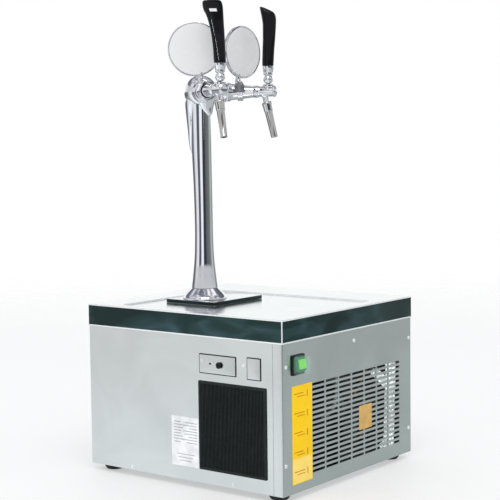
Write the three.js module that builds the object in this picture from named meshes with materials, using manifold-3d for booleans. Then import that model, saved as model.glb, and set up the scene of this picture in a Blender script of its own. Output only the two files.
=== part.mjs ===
// Countertop beer dispenser: a steel cooler cabinet that carries a chrome two-tap tower.
// Millimetres, +Z up. The taps face -Y (the front), +X is to the right of somebody who
// looks from the front along +Y, and the origin is the bottom centre of the whole object.
import * as THREE from "three";
import { mergeVertices } from "three/addons/utils/BufferGeometryUtils.js";
import Module from "manifold-3d";

const wasm = await Module();
wasm.setup();

// ---------------------------------------------------------------- driving dimensions
const GAP = 0.3; // clearance between pieces that touch
const SHEET = 1.5; // cabinet sheet metal
const DEG = Math.PI / 180;

const HALF_X = 211.3; // cabinet, half of its width
const HALF_Y = 225; // cabinet, half of its depth
const FOOT_H = 12;
const FLOOR_Z = FOOT_H + 2.5; // upper face of the base plate
const BODY_TOP = 275.3; // underside of the top tray's skirt
const TOP_Z = 316.3; // upper rim of the top tray
const OVERHANG = 2; // tray past the cabinet on each side
const CORNER_WRAP = 20; // front panel folded round the left corner

const RECESS = { x0: -190, x1: 105, y0: -200, y1: 160, depth: 2.5 };
const TRAY_FLOOR = 2.5; // thickness of the recessed deck
const DECK_Z = TOP_Z - RECESS.depth;

const VENT = { columns: 7, rows: 18, x0: -123, z0: 38.1, pitchX: 42.4, pitchZ: 9.05, w: 37.6, h: 4.4 };
const GRILLE = { y0: -191.5, y1: -41, z0: 37, z1: 197, bars: 22, bar: 3.2, frame: 6 };
const CONTROL_PLATE = { y0: -125, y1: -45, z0: 212, z1: 244 };
const KNOB = { y: -90.5, z: 228, radius: 5.8, length: 5 };
const SWITCH = { x0: -184.5, x1: -149, z0: 218, z1: 253, rim: 3, depth: 12.5, pivotIn: 3, tilt: 8 * DEG };
const SPLASH_COVER = { inset: 1.2, wall: 1.2, reach: 19, radius: 7 }; // hood over the rocker

const TANK = { x0: -195, x1: 195, y0: 4, y1: 200, z0: 22, z1: 258, wall: 10 };
const BATH = { x: 0, y: 102 }; // common axis of the coils and the agitator
const COIL = { turns: 3, pitch: 40, z0: 62, stepsPerTurn: 12 };
const FAN = { x: -146, y: -116, z: 116, radius: 58 };

const TOWER = { x: -60, y: 66 };
const PLATE = { x0: -102, x1: 45, y0: 8, y1: 128, thickness: 7 };
const TOWER_Z = DECK_Z + GAP + PLATE.thickness + GAP; // the flange stands here
const BORE_R = 14.5; // hole through deck and plate for the tower's threaded tube

const ARM_Z = 711.5; // axis of both shanks and tap barrels
// Lever axis of a tap from the tower axis, its toe-out, and its barrel's ends from the lever.
const TAP = { x: 72, forward: 102, toe: 22 * DEG, back: 26, front: 10.5 };
const SHANK_ROOT = 33; // root of a shank: this far sideways and this far forward
const SHANK_R = { root: 16.5, tip: 10.5, bore: 3.8 };
const LINE_RADIUS = 3;
const SPOUT_TILT = 12.7 * DEG;
const SPOUT_BACK = 8; // spout root behind the lever axis
const LEVER_PIVOT = 22.5; // lever ball above the barrel axis
const PLUNGER = { bore: 5.5, radius: 5, core: 2, groove: 4.2, half: 7.4 };
const HANDLE = { base: 47.3, height: 110.5 };
const HANDLE_TURN = { left: -52 * DEG, right: -142 * DEG };
const MEDALLION = { offset: 11.8, z: 787, radius: 49.3, thickness: 9.5, rim: 2.4 };
const MEDALLION_TURN = { left: -50 * DEG, right: -4 * DEG };
const KNUCKLE = { x: 54, forward: 44, z: 732, radius: 5.6, top: 4.7 };
const CLAMP = {
  place: 0.5, // share of the shank's length
  clearance: 1, wall: 2.6, half: 5,
  screwUp: 8,
};
const STEM_RADIUS = 4.6;

// ---------------------------------------------------------------- materials
function material(color, roughness, metalness) {
  return new THREE.MeshStandardMaterial({ color, roughness, metalness });
}
const STEEL = material(0xc6cbc9, 0.35, 1);
const POLISHED_STEEL = material(0xd2d7d6, 0.15, 1);
const CHROME = material(0xe2e4ea, 0.06, 1);
const BLACK_PLASTIC = material(0x1b1c1e, 0.35, 0);
const RUBBER = material(0x141414, 0.8, 0);
const GREEN_LENS = material(0x3fae52, 0.25, 0);
const WHITE_ENAMEL = material(0xf1f1ef, 0.3, 0);
const COPPER = material(0xb87348, 0.35, 1);
const FOAM = material(0xdedbd0, 0.8, 0);
const TUBE_PLASTIC = material(0xdfe6ea, 0.4, 0);
const DARK_METAL = material(0x2a2d30, 0.5, 0.6);
const CLEAR_PLASTIC = material(0xcfe8dc, 0.1, 0);

// ---------------------------------------------------------------- geometry helpers
function box(x0, x1, y0, y1, z0, z1) {
  const shape = new THREE.BoxGeometry(x1 - x0, y1 - y0, z1 - z0);
  return shape.translate((x0 + x1) / 2, (y0 + y1) / 2, (z0 + z1) / 2);
}

// A profile of [radius, height] points turned about Z.
function turned(profile, segments = 12) {
  const points = profile.map(([r, z]) => new THREE.Vector2(r, z));
  return new THREE.LatheGeometry(points, segments).rotateX(Math.PI / 2);
}

function rod(radius, z0, z1, segments = 12) {
  return turned([[0, z0], [radius, z0], [radius, z1], [0, z1]], segments);
}

function ring(outer, inner, z0, z1, segments = 16) {
  return turned([[inner, z0], [outer, z0], [outer, z1], [inner, z1], [inner, z0]], segments);
}

// Turns a shape made along +Z so that it points along -Y, towards the front.
function towardsFront(geometry) {
  return geometry.rotateX(Math.PI / 2);
}

// Turns a shape made along +Z so that it points along -X, towards the left.
function towardsLeft(geometry) {
  return geometry.rotateY(-Math.PI / 2);
}

// A rectangle with round corners, as an outline about the origin.
function roundedOutline(halfWidth, halfHeight, radius) {
  const outline = new THREE.Shape();
  const corners = [
    [halfWidth, -halfHeight, -90], [halfWidth, halfHeight, 0],
    [-halfWidth, halfHeight, 90], [-halfWidth, -halfHeight, 180],
  ];
  for (const [x, y, start] of corners) {
    outline.absarc(
      x - Math.sign(x) * radius, y - Math.sign(y) * radius, radius,
      start * DEG, (start + 90) * DEG, false,
    );
  }
  return outline;
}

// Closed skin over rings of points that run anticlockwise seen from the last ring.
function loft(rings) {
  const count = rings[0].length;
  const positions = rings.flat().flatMap((p) => [p.x, p.y, p.z]);
  const index = [];
  for (let i = 0; i + 1 < rings.length; i++) {
    for (let j = 0; j < count; j++) {
      const k = (j + 1) % count;
      const a = i * count + j;
      const b = i * count + k;
      index.push(a, b, b + count, a, b + count, a + count);
    }
  }
  for (const [first, ringIndex] of [[true, 0], [false, rings.length - 1]]) {
    const centre = new THREE.Vector3();
    rings[ringIndex].forEach((p) => centre.addScaledVector(p, 1 / count));
    const c = positions.length / 3;
    positions.push(centre.x, centre.y, centre.z);
    for (let j = 0; j < count; j++) {
      const a = ringIndex * count + j;
      const b = ringIndex * count + ((j + 1) % count);
      index.push(c, first ? b : a, first ? a : b);
    }
  }
  const geometry = new THREE.BufferGeometry();
  geometry.setAttribute("position", new THREE.Float32BufferAttribute(positions, 3));
  geometry.setIndex(index);
  return geometry;
}

// Horizontal elliptical rings: [height, x radius, y radius, y of the centre].
function ovalTower(sections, grow = 0, count = 16) {
  return loft(
    sections.map(([z, rx, ry, cy]) =>
      Array.from({ length: count }, (_, j) => {
        const a = (j / count) * 2 * Math.PI;
        return new THREE.Vector3(
          (rx + grow) * Math.cos(a),
          cy + (ry + grow) * Math.sin(a),
          z,
        );
      }),
    ),
  );
}

// A round bar whose radius changes along a curve; the normal is square to the whole curve.
function taperedBar(curve, radiusAt, steps, sides = 12, normal = new THREE.Vector3(0, 0, 1)) {
  const rings = [];
  for (let i = 0; i <= steps; i++) {
    const t = i / steps;
    const centre = curve.getPoint(t);
    const along = curve.getTangent(t);
    const side = normal.clone().cross(along).normalize();
    const radius = radiusAt(t);
    const points = [];
    for (let j = 0; j < sides; j++) {
      const a = (j / sides) * 2 * Math.PI;
      const across = side.clone().multiplyScalar(radius * Math.cos(a));
      points.push(centre.clone().add(across).addScaledVector(normal, radius * Math.sin(a)));
    }
    rings.push(points);
  }
  return loft(rings);
}

function tube(curve, radius, steps, sides = 6) {
  const section = new THREE.Shape().absarc(0, 0, radius, 0, 2 * Math.PI, false);
  return new THREE.ExtrudeGeometry(section, {
    steps,
    curveSegments: sides / 2,
    extrudePath: curve,
    bevelEnabled: false,
  });
}

function solid(geometry) {
  const bare = geometry.clone();
  bare.deleteAttribute("normal");
  bare.deleteAttribute("uv");
  const merged = mergeVertices(bare, 1e-3);
  const triVerts = new Uint32Array(merged.index.array);
  const vertProperties = new Float32Array(merged.attributes.position.array);
  return new wasm.Manifold(new wasm.Mesh({ numProp: 3, vertProperties, triVerts }));
}

function joined(...geometries) {
  return geometries.map(solid).reduce((a, b) => a.add(b));
}

function geometryOf(manifold) {
  const { vertProperties, triVerts } = manifold.getMesh();
  const geometry = new THREE.BufferGeometry();
  geometry.setAttribute("position", new THREE.BufferAttribute(vertProperties, 3));
  geometry.setIndex(new THREE.BufferAttribute(triVerts, 1));
  return geometry;
}

// Cuts every tool out of a shape; both are geometries.
function cut(geometry, ...tools) {
  return geometryOf(tools.map(solid).reduce((a, b) => a.subtract(b), solid(geometry)));
}

const assembly = new THREE.Group();
const tower = new THREE.Group();
tower.position.set(TOWER.x, TOWER.y, 0);
assembly.add(tower);

function piece(name, geometry, mat, parent = assembly) {
  const mesh = new THREE.Mesh(geometry, mat);
  mesh.name = name;
  parent.add(mesh);
  return mesh;
}

// ---------------------------------------------------------------- cabinet
function makeBasePlate() {
  const x = HALF_X - SHEET - GAP;
  const y = HALF_Y - SHEET - GAP;
  piece("base_plate", box(-x, x, -y, y, FOOT_H, FLOOR_Z), STEEL);
}

function makeFeet() {
  const inset = 30;
  const profile = [[0, 0], [15, 0], [17, 2], [19, FOOT_H - GAP], [0, FOOT_H - GAP]];
  for (const [sideX, nameX] of [[-1, "left"], [1, "right"]]) {
    for (const [sideY, nameY] of [[-1, "front"], [1, "rear"]]) {
      const foot = piece(`foot_${nameY}_${nameX}`, turned(profile), RUBBER);
      foot.position.set(sideX * (HALF_X - inset), sideY * (HALF_Y - inset), 0);
    }
  }
}

function ventSlots() {
  const slots = [];
  for (let c = 0; c < VENT.columns; c++) {
    for (let r = 0; r < VENT.rows; r++) {
      const x = VENT.x0 + c * VENT.pitchX;
      const z = VENT.z0 + r * VENT.pitchZ;
      slots.push(box(x, x + VENT.w, -HALF_Y - 1, -HALF_Y + SHEET + 1, z, z + VENT.h));
    }
  }
  return slots;
}

// Front panel, folded round the left corner, with the louvre field and the switch hole.
function makeFrontPanel() {
  const z0 = FOOT_H;
  const z1 = BODY_TOP - GAP;
  const face = box(-HALF_X, HALF_X, -HALF_Y, -HALF_Y + SHEET, z0, z1);
  const fold = box(-HALF_X, -HALF_X + SHEET, -HALF_Y, -HALF_Y + CORNER_WRAP, z0, z1);
  const switchHole = box(
    SWITCH.x0 + 3, SWITCH.x1 - 3, -HALF_Y - 1, -HALF_Y + SHEET + 1, SWITCH.z0 + 3, SWITCH.z1 - 3,
  );
  const sheet = joined(face, fold);
  piece("front_panel", cut(geometryOf(sheet), ...ventSlots(), switchHole), STEEL);
}

function makeLeftPanel() {
  const y0 = -HALF_Y + CORNER_WRAP + GAP;
  const sheet = box(-HALF_X, -HALF_X + SHEET, y0, HALF_Y, FOOT_H, BODY_TOP - GAP);
  const inset = GRILLE.frame - 2;
  const airHole = box(
    -HALF_X - 1, -HALF_X + SHEET + 1,
    GRILLE.y0 + inset, GRILLE.y1 - inset, GRILLE.z0 + inset, GRILLE.z1 - inset,
  );
  const shaftHole = towardsLeft(rod(4.5, 0, 6, 16));
  shaftHole.translate(-HALF_X + 3, KNOB.y, KNOB.z);
  piece("left_panel", cut(sheet, airHole, shaftHole), STEEL);
}

function makeRightPanel() {
  const y0 = -HALF_Y + SHEET + GAP;
  piece("right_panel", box(HALF_X - SHEET, HALF_X, y0, HALF_Y, FOOT_H, BODY_TOP - GAP), STEEL);
}

const REAR_INLETS = [["left", -120], ["right", -80]];
const POWER_INLET = { x: 120, z: 70, w: 48, h: 28 };

function makeRearPanel() {
  const x = HALF_X - SHEET - GAP;
  const sheet = box(-x, x, HALF_Y - SHEET, HALF_Y, FOOT_H, BODY_TOP - GAP);
  const holes = REAR_INLETS.map(([, inletX]) =>
    towardsFront(rod(6.2, 0, 6, 16)).translate(inletX, HALF_Y + 2, 60),
  );
  const socketHole = box(
    POWER_INLET.x - 14.5, POWER_INLET.x + 14.5, HALF_Y - 4, HALF_Y + 1,
    POWER_INLET.z - 10.5, POWER_INLET.z + 10.5,
  );
  piece("rear_panel", cut(sheet, ...holes, socketHole), STEEL);
}

function makeTopTray() {
  const x = HALF_X + OVERHANG;
  const y = HALF_Y + OVERHANG;
  const wall = SHEET;
  const outer = box(-x, x, -y, y, BODY_TOP, TOP_Z);
  const under = box(
    -x + wall, x - wall, -y + wall, y - wall, BODY_TOP - 1, DECK_Z - TRAY_FLOOR,
  );
  const recess = box(RECESS.x0, RECESS.x1, RECESS.y0, RECESS.y1, DECK_Z, TOP_Z + 1);
  const hole = rod(BORE_R, DECK_Z - 10, DECK_Z + 10, 24).translate(TOWER.x, TOWER.y, 0);
  piece("top_tray", cut(outer, under, recess, hole), POLISHED_STEEL);
}

// ---------------------------------------------------------------- controls and fittings
function makeAirGrille() {
  const outside = -HALF_X - GAP;
  const plate = box(outside - 1.4, outside, GRILLE.y0, GRILLE.y1, GRILLE.z0, GRILLE.z1);
  const y0 = GRILLE.y0 + GRILLE.frame;
  const y1 = GRILLE.y1 - GRILLE.frame;
  const pitch = (y1 - y0 + GRILLE.bar) / GRILLE.bars;
  const gaps = [];
  for (let i = 0; i < GRILLE.bars; i++) {
    const y = y0 + i * pitch;
    gaps.push(box(
      outside - 3, outside + 1, y, y + pitch - GRILLE.bar,
      GRILLE.z0 + GRILLE.frame, GRILLE.z1 - GRILLE.frame,
    ));
  }
  piece("air_grille", cut(plate, ...gaps), BLACK_PLASTIC);
}

function makeControlPlate() {
  const outside = -HALF_X - GAP;
  const p = CONTROL_PLATE;
  const shaftHole = towardsLeft(rod(4, 0, 6, 16)).translate(outside + 2, KNOB.y, KNOB.z);
  const plate = box(outside - 1.2, outside, p.y0, p.y1, p.z0, p.z1);
  piece("control_plate", cut(plate, shaftHole), STEEL);
}

function makeThermostat() {
  const shaftR = 3;
  const shaftEnd = 26;
  const profile = [
    [0, -shaftEnd], [shaftR, -shaftEnd], [shaftR, 2], [KNOB.radius, 2],
    [KNOB.radius, KNOB.length - 1], [KNOB.radius - 1, KNOB.length], [0, KNOB.length],
  ];
  const knob = joined(turned(profile, 20));
  const slot = box(-0.8, 0.8, -KNOB.radius - 1, KNOB.radius + 1, KNOB.length - 1.5, KNOB.length + 1);
  const turnedKnob = towardsLeft(geometryOf(knob.subtract(solid(slot))));
  const outside = -HALF_X - GAP - 1.2;
  piece("thermostat_knob", turnedKnob, BLACK_PLASTIC).position.set(outside, KNOB.y, KNOB.z);

  const body = box(-HALF_X + 3, -HALF_X + 45, KNOB.y - 24, KNOB.y + 24, KNOB.z - 15, KNOB.z + 14);
  const bore = towardsLeft(rod(shaftR + GAP, 0, 40, 16)).translate(-HALF_X + 35, KNOB.y, KNOB.z);
  piece("thermostat_body", cut(body, bore), DARK_METAL);
}

// A rocker switch under a splash cover: the frame holds a green rocker on a cross pin axis.
function makeSwitch() {
  const s = SWITCH;
  const front = -HALF_Y - GAP;
  const rim = box(s.x0, s.x1, front - s.rim, front, s.z0, s.z1);
  const throat = box(s.x0 + 4, s.x1 - 4, -HALF_Y - 10, -HALF_Y + 22, s.z0 + 4, s.z1 - 4);
  const barrel = box(s.x0 + 3.5, s.x1 - 3.5, front - 1, -HALF_Y + 20, s.z0 + 3.5, s.z1 - 3.5);
  const frame = joined(rim, barrel).subtract(solid(throat));
  piece("switch_frame", geometryOf(frame), BLACK_PLASTIC);

  const midX = (s.x0 + s.x1) / 2;
  const midZ = (s.z0 + s.z1) / 2;
  const half = (s.z1 - s.z0) / 2 - 4 - 0.6;
  const nose = s.depth;
  const outline = new THREE.Shape();
  outline.moveTo(-8, -half + 2.5);
  outline.lineTo(0, -half);
  outline.lineTo(nose, -half + 2.6);
  outline.lineTo(nose + 1.2, 0);
  outline.lineTo(nose, half - 2.6);
  outline.lineTo(0, half);
  outline.lineTo(-8, half - 2.5);
  outline.closePath();
  const width = s.x1 - s.x0 - 8 - 1.6;
  const rocker = new THREE.ExtrudeGeometry(outline, { depth: width, bevelEnabled: false });
  rocker.translate(SWITCH.pivotIn, 0, -width / 2).rotateX(Math.PI / 2).rotateZ(-Math.PI / 2);
  const mesh = piece("switch_rocker", rocker, GREEN_LENS);
  mesh.position.set(midX, -HALF_Y + SWITCH.pivotIn, midZ);
  mesh.rotation.x = -SWITCH.tilt;

  // A clear flexible hood sits on the rim and leaves the rocker room to tip.
  const c = SPLASH_COVER;
  const base = GAP + s.rim + GAP;
  const hood = (inset, from, to) => {
    const halfX = (s.x1 - s.x0) / 2 - inset;
    const halfZ = (s.z1 - s.z0) / 2 - inset;
    const skin = new THREE.ExtrudeGeometry(
      roundedOutline(halfX, halfZ, c.radius - inset + c.inset),
      { depth: to - from, bevelEnabled: false, curveSegments: 3 },
    );
    return towardsFront(skin).translate(midX, -HALF_Y - from, midZ);
  };
  const shell = hood(c.inset, base, c.reach);
  const hollow = hood(c.inset + c.wall, base - 1, c.reach - c.wall);
  piece("switch_cover", cut(shell, hollow), CLEAR_PLASTIC);
}

function makeRearFittings() {
  for (const [name, x] of REAR_INLETS) {
    const barb = turned([
      [2.6, -14], [5.8, -14], [5.8, -GAP - 2], [5.8, GAP], [9, GAP], [9, 4], [4.4, 4], [5.2, 6],
      [4.4, 8.5], [5.2, 9], [4.2, 12], [2.6, 12], [2.6, -14],
    ], 16);
    const inlet = piece(`beer_inlet_${name}`, barb.rotateX(-Math.PI / 2), STEEL);
    inlet.position.set(x, HALF_Y, 60);
  }
  const p = POWER_INLET;
  const flange = box(p.x - p.w / 2, p.x + p.w / 2, HALF_Y + GAP, HALF_Y + 3, p.z - p.h / 2, p.z + p.h / 2);
  const shell = box(p.x - 14, p.x + 14, HALF_Y - 22, HALF_Y + 1, p.z - 10, p.z + 10);
  const well = box(p.x - 12, p.x + 12, HALF_Y - 16, HALF_Y + 6, p.z - 8, p.z + 8);
  piece("power_inlet", geometryOf(joined(flange, shell).subtract(solid(well))), BLACK_PLASTIC);
}

// ---------------------------------------------------------------- cooling system
class Helix extends THREE.Curve {
  constructor(radius, turns, pitch) {
    super();
    Object.assign(this, { radius, turns, pitch });
  }
  getPoint(t, target = new THREE.Vector3()) {
    const a = t * this.turns * 2 * Math.PI;
    return target.set(
      this.radius * Math.cos(a), this.radius * Math.sin(a), t * this.turns * this.pitch,
    );
  }
}

function makeTank() {
  const t = TANK;
  const outer = box(t.x0, t.x1, t.y0, t.y1, t.z0, t.z1);
  const inner = box(
    t.x0 + t.wall, t.x1 - t.wall, t.y0 + t.wall, t.y1 - t.wall, t.z0 + t.wall, t.z1 + 1,
  );
  piece("water_tank", cut(outer, inner), FOAM);
  const lid = box(t.x0, t.x1, t.y0, t.y1, t.z1 + GAP, t.z1 + 4);
  const shaftHole = rod(8, t.z1 - 1, t.z1 + 8, 16).translate(BATH.x, BATH.y, 0);
  const lineHole = box(TOWER.x - 14, TOWER.x + 14, TOWER.y - 8, TOWER.y + 8, t.z1 - 1, t.z1 + 8);
  piece("tank_lid", cut(lid, shaftHole, lineHole), STEEL);
}

function makeCoils() {
  const coils = [
    ["evaporator_coil", 82, 4.6, COPPER],
    ["product_coil_left", 68, 4, STEEL],
    ["product_coil_right", 55, 4, STEEL],
  ];
  for (const [name, radius, wireR, mat] of coils) {
    const helix = new Helix(radius, COIL.turns, COIL.pitch);
    const steps = COIL.turns * COIL.stepsPerTurn;
    const mesh = piece(name, tube(helix, wireR, steps), mat);
    mesh.position.set(BATH.x, BATH.y, COIL.z0);
  }
}

function makeAgitator() {
  const motor = turned([
    [0, 0], [22, 0], [22, 24], [18, 30], [0, 30],
  ], 20);
  const shaftBore = rod(3, -1, 10, 12);
  const mesh = piece("agitator_motor", cut(motor, shaftBore), DARK_METAL);
  mesh.position.set(BATH.x, BATH.y, TANK.z1 + 4 + GAP);

  const shaft = rod(2.5, 0, 205, 12);
  const hub = rod(7, 4, 16, 12);
  const blades = [0, 1, 2].map((i) => {
    const blade = box(4, 26, -1, 1, 0, 12);
    return blade.rotateX(30 * DEG).translate(0, 0, 4).rotateZ(i * 120 * DEG);
  });
  const propeller = piece("agitator_propeller", geometryOf(joined(shaft, hub, ...blades)), STEEL);
  propeller.position.set(BATH.x, BATH.y, TANK.z1 + 4 + GAP + 9 - 205);
}

function makeCompressor() {
  const profile = [
    [0, 0], [56, 0], [56, 10], [60, 14], [60, 70], [62, 72], [62, 78], [60, 80],
    [58, 115], [46, 138], [24, 148], [0, 150],
  ];
  const shell = piece("compressor", turned(profile), BLACK_PLASTIC);
  shell.position.set(40, -118, FLOOR_Z + GAP);
}

function makeCondenser() {
  const x0 = -204;
  const x1 = -176;
  const z0 = 30;
  const block = box(x0, x1, GRILLE.y0 + 2, GRILLE.y1 - 2, z0, 200);
  const fins = 9;
  const pitch = 170 / fins;
  const slots = [];
  for (let i = 0; i < fins; i++) {
    const z = z0 + 6 + i * pitch;
    slots.push(box(x0 - 1, x0 + 9, GRILLE.y0 + 8, GRILLE.y1 - 8, z, z + pitch - 5));
  }
  piece("condenser", cut(block, ...slots), DARK_METAL);
}

function makeFan() {
  const f = FAN;
  const plate = box(f.x - 12, f.x - 8, f.y - 70, f.y + 70, FLOOR_Z + GAP, f.z + 75);
  const hole = towardsLeft(rod(f.radius + 3, 0, 20)).translate(f.x, f.y, f.z);
  const arm = box(f.x - 12, f.x - 8, f.y - 5, f.y + 5, f.z - f.radius - 6, f.z + f.radius + 6);
  const shaftHole = towardsLeft(rod(4, 0, 20, 16)).translate(f.x, f.y, f.z);
  const bracket = solid(plate).subtract(solid(hole)).add(solid(arm)).subtract(solid(shaftHole));

  const motorBore = rod(3.4, 5, 40, 16).translate(0, 0, -20);
  const motor = towardsLeft(cut(rod(24, -30, 9, 20), motorBore)).translate(f.x, f.y, f.z);
  piece("fan_motor", geometryOf(bracket.add(solid(motor))), DARK_METAL);

  const shaft = rod(3, -12, 24, 12);
  const hub = rod(13, 14, 24, 16);
  const blades = [0, 1, 2, 3, 4].map((i) => {
    const blade = box(8, f.radius - 2, -14, 14, -0.8, 0.8);
    return blade.rotateX(22 * DEG).translate(0, 0, 19).rotateZ(i * 72 * DEG);
  });
  const wheel = towardsLeft(geometryOf(joined(shaft, hub, ...blades)));
  piece("fan_wheel", wheel, BLACK_PLASTIC).position.set(f.x, f.y, f.z);
}

// ---------------------------------------------------------------- tower
const COLUMN_SECTIONS = [
  // height above the flange seat, x radius, y radius, y of the centre
  [21, 24.4, 24.4, 0], [30, 23.3, 23.3, 0], [46, 21.5, 21.5, 0], [70, 19.1, 19.1, 0],
  [95, 17.7, 17.7, 0], [130, 17, 17, 0], [205, 16.8, 17.6, 1], [285, 17, 19.2, 3],
  [372, 17, 20, 4],
];
const COLUMN_WALL = 3;
const HEAD_Z = ARM_Z - TOWER_Z; // shank axis above the flange seat

function makeTowerFoot() {
  const p = PLATE;
  const slab = box(p.x0, p.x1, p.y0, p.y1, DECK_Z + GAP, DECK_Z + GAP + p.thickness);
  const hole = rod(BORE_R, DECK_Z - 5, DECK_Z + 20, 24).translate(TOWER.x, TOWER.y, 0);
  piece("tower_plate", cut(slab, hole), STEEL);

  const boreR = 11.5;
  const threadR = 14;
  const threadEnd = -32;
  const flange = turned([
    [boreR, threadEnd], [threadR, threadEnd], [threadR, 0], [42, 0], [42, 3], [40.5, 6],
    [36, 13], [31, 17.5], [25.4, 20.6], [boreR, 20.6], [boreR, threadEnd],
  ], 24);
  piece("tower_flange", flange, CHROME, tower).position.z = TOWER_Z;

  const nutTop = DECK_Z - TRAY_FLOOR - GAP;
  const nut = rod(23, nutTop - 9, nutTop, 6);
  const nutHole = rod(threadR + GAP, 0, TOP_Z, 24);
  piece("tower_nut", cut(nut, nutHole), STEEL, tower);
}

function makeColumn() {
  const outer = ovalTower(COLUMN_SECTIONS);
  const last = COLUMN_SECTIONS.length - 1;
  const inside = COLUMN_SECTIONS.filter((_, i) => i % 2 === 0);
  inside[0] = [20, 24.4, 24.4, 0];
  inside[inside.length - 1] = [COLUMN_SECTIONS[last][0] + 2, 17, 20, 4];
  const inner = ovalTower(inside, -COLUMN_WALL, 10);
  piece("tower_column", cut(outer, inner), CHROME, tower).position.z = TOWER_Z;
}

// The head: a rounded casting with a tail down the back, a chin at the front and two sockets.
function makeHead() {
  const bulb = new THREE.SphereGeometry(1, 20, 12).rotateX(Math.PI / 2);
  bulb.scale(25, 35, 31).translate(0, 3, HEAD_Z + 1);
  const tail = ovalTower([
    [276, 3, 2, 25], [292, 8, 6, 24], [320, 13, 12, 20], [350, 16.5, 17, 18],
    [375, 20, 21, 15], [400, 21, 22, 10],
  ]);
  const chin = ovalTower([
    [346, 3, 2.5, -18], [352, 8, 6.5, -15], [362, 14, 12, -11], [376, 19, 18, -8],
    [392, 22, 22, -4],
  ]);
  const sockets = [-1, 1].map((side) => {
    const socket = turned([[0, 0], [21, 0], [19.5, 24], [18, 46.2], [0, 46.2]]);
    return towardsFront(socket).rotateZ(side * 45 * DEG).translate(0, 0, HEAD_Z);
  });
  const bores = [-1, 1].map((side) =>
    towardsFront(rod(5, 0, 50, 12)).rotateZ(side * 45 * DEG).translate(0, 0, HEAD_Z),
  );
  const seat = ovalTower([[200, 16.8, 17.6, 1], ...COLUMN_SECTIONS.slice(6)], GAP);
  const well = rod(14.5, 360, HEAD_Z + 8, 16);
  const casting = joined(bulb, tail, chin, ...sockets)
    .subtract(solid(seat))
    .subtract(solid(well))
    .subtract(solid(bores[0]))
    .subtract(solid(bores[1]));
  piece("tower_head", geometryOf(casting), CHROME, tower).position.z = TOWER_Z;
}

function shankCurve(side) {
  const behind = TAP.back + GAP;
  const tip = new THREE.Vector2(
    TAP.x - behind * Math.sin(TAP.toe), TAP.forward - behind * Math.cos(TAP.toe),
  );
  // The tap's axis meets the socket's 45 degree axis this far behind the tip.
  const toBend = (tip.y - tip.x) / (Math.cos(TAP.toe) - Math.sin(TAP.toe));
  const bend = new THREE.Vector2(
    tip.x - toBend * Math.sin(TAP.toe), tip.y - toBend * Math.cos(TAP.toe),
  );
  return new THREE.QuadraticBezierCurve3(
    new THREE.Vector3(side * (SHANK_ROOT + GAP), -(SHANK_ROOT + GAP), 0),
    new THREE.Vector3(side * bend.x, -bend.y, 0),
    new THREE.Vector3(side * tip.x, -tip.y, 0),
  );
}

// Shank radius: two collars at the root, then a smooth taper to the tap.
function shankRadius(t) {
  const taper = SHANK_R.root + (SHANK_R.tip - SHANK_R.root) * t;
  const collar = t < 0.09 ? 1.8 : 0;
  return taper + collar;
}

function makeShank(side, name) {
  const curve = shankCurve(side);
  const outer = taperedBar(curve, shankRadius, 11);
  const bore = taperedBar(curve, () => SHANK_R.bore, 5, 8);
  const ends = [0, 1].map((t) => {
    const p = curve.getPoint(t);
    const along = curve.getTangent(t);
    const plug = towardsFront(rod(SHANK_R.bore, -2, 2, 8));
    return plug.rotateZ(Math.atan2(along.x, -along.y)).translate(p.x, p.y, 0);
  });
  const mesh = piece(`shank_${name}`, cut(outer, bore, ...ends), CHROME, tower);
  mesh.position.z = ARM_Z;
}

// A plastic line from the cooler up the column and through the socket to the shank.
function makeBeerLine(side, name) {
  const root = SHANK_ROOT - 1;
  const curve = new THREE.CatmullRomCurve3([
    new THREE.Vector3(side * 4.5, 0, -50),
    new THREE.Vector3(side * 4.5, 1, HEAD_Z - 50),
    new THREE.Vector3(side * 3.6, -2, HEAD_Z - 13),
    new THREE.Vector3(side * 5.2, -5.2, HEAD_Z - 3.5),
    new THREE.Vector3(side * 10, -10, HEAD_Z),
    new THREE.Vector3(side * root, -root, HEAD_Z),
  ]);
  const normal = new THREE.Vector3(1, side, 0).normalize();
  const line = taperedBar(curve, () => LINE_RADIUS, 20, 8, normal);
  piece(`beer_line_${name}`, line, TUBE_PLASTIC, tower).position.z = TOWER_Z;
}

function barrelGroup(side) {
  const group = new THREE.Group();
  group.position.set(side * TAP.x, -TAP.forward, ARM_Z);
  group.rotation.z = side * TAP.toe;
  tower.add(group);
  return group;
}

// The tap body: a level barrel bored for the plunger, a bonnet on top and a neck below.
function makeTapBody(group, name) {
  const barrel = towardsFront(turned([
    [0, -TAP.back], [11.4, -TAP.back], [11.4, -TAP.back + 6], [9.6, -TAP.back + 8],
    [9.6, TAP.front], [0, TAP.front],
  ], 16));
  const bonnet = turned([
    [0, 0], [9.5, 0], [9.5, 8.5], [10.2, 9.5], [10.2, 12.4], [9.2, 13.2], [0, 13.2],
  ], 16);
  const neck = rod(5.6, -20, 0).rotateX(-SPOUT_TILT).translate(0, SPOUT_BACK, 0);
  const bore = towardsFront(rod(PLUNGER.bore, -17.5, TAP.front + 1));
  const supply = towardsFront(rod(SHANK_R.bore, -TAP.back - 1, -17, 8));
  const outlet = rod(3.2, -30, 0, 8).rotateX(-SPOUT_TILT).translate(0, SPOUT_BACK, 0);
  const lowerSlot = box(-3, 3, -5.6, 11.3, 0, 10);
  const upperSlot = box(-3, 3, -4.6, 8.3, 9, 15);
  const cuts = [bore, supply, outlet, lowerSlot, upperSlot].map(solid);
  const shape = cuts.reduce((a, b) => a.subtract(b), joined(barrel, bonnet, neck));
  piece(`tap_body_${name}`, geometryOf(shape), CHROME, group);

  const cap = towardsFront(turned([
    [0, 0], [10.6, 0], [10.6, 2.2], [9.8, 3.6], [7, 4.6], [0, 5.2],
  ], 20));
  piece(`tap_cap_${name}`, cap, CHROME, group).position.y = -TAP.front - GAP;
}

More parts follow.
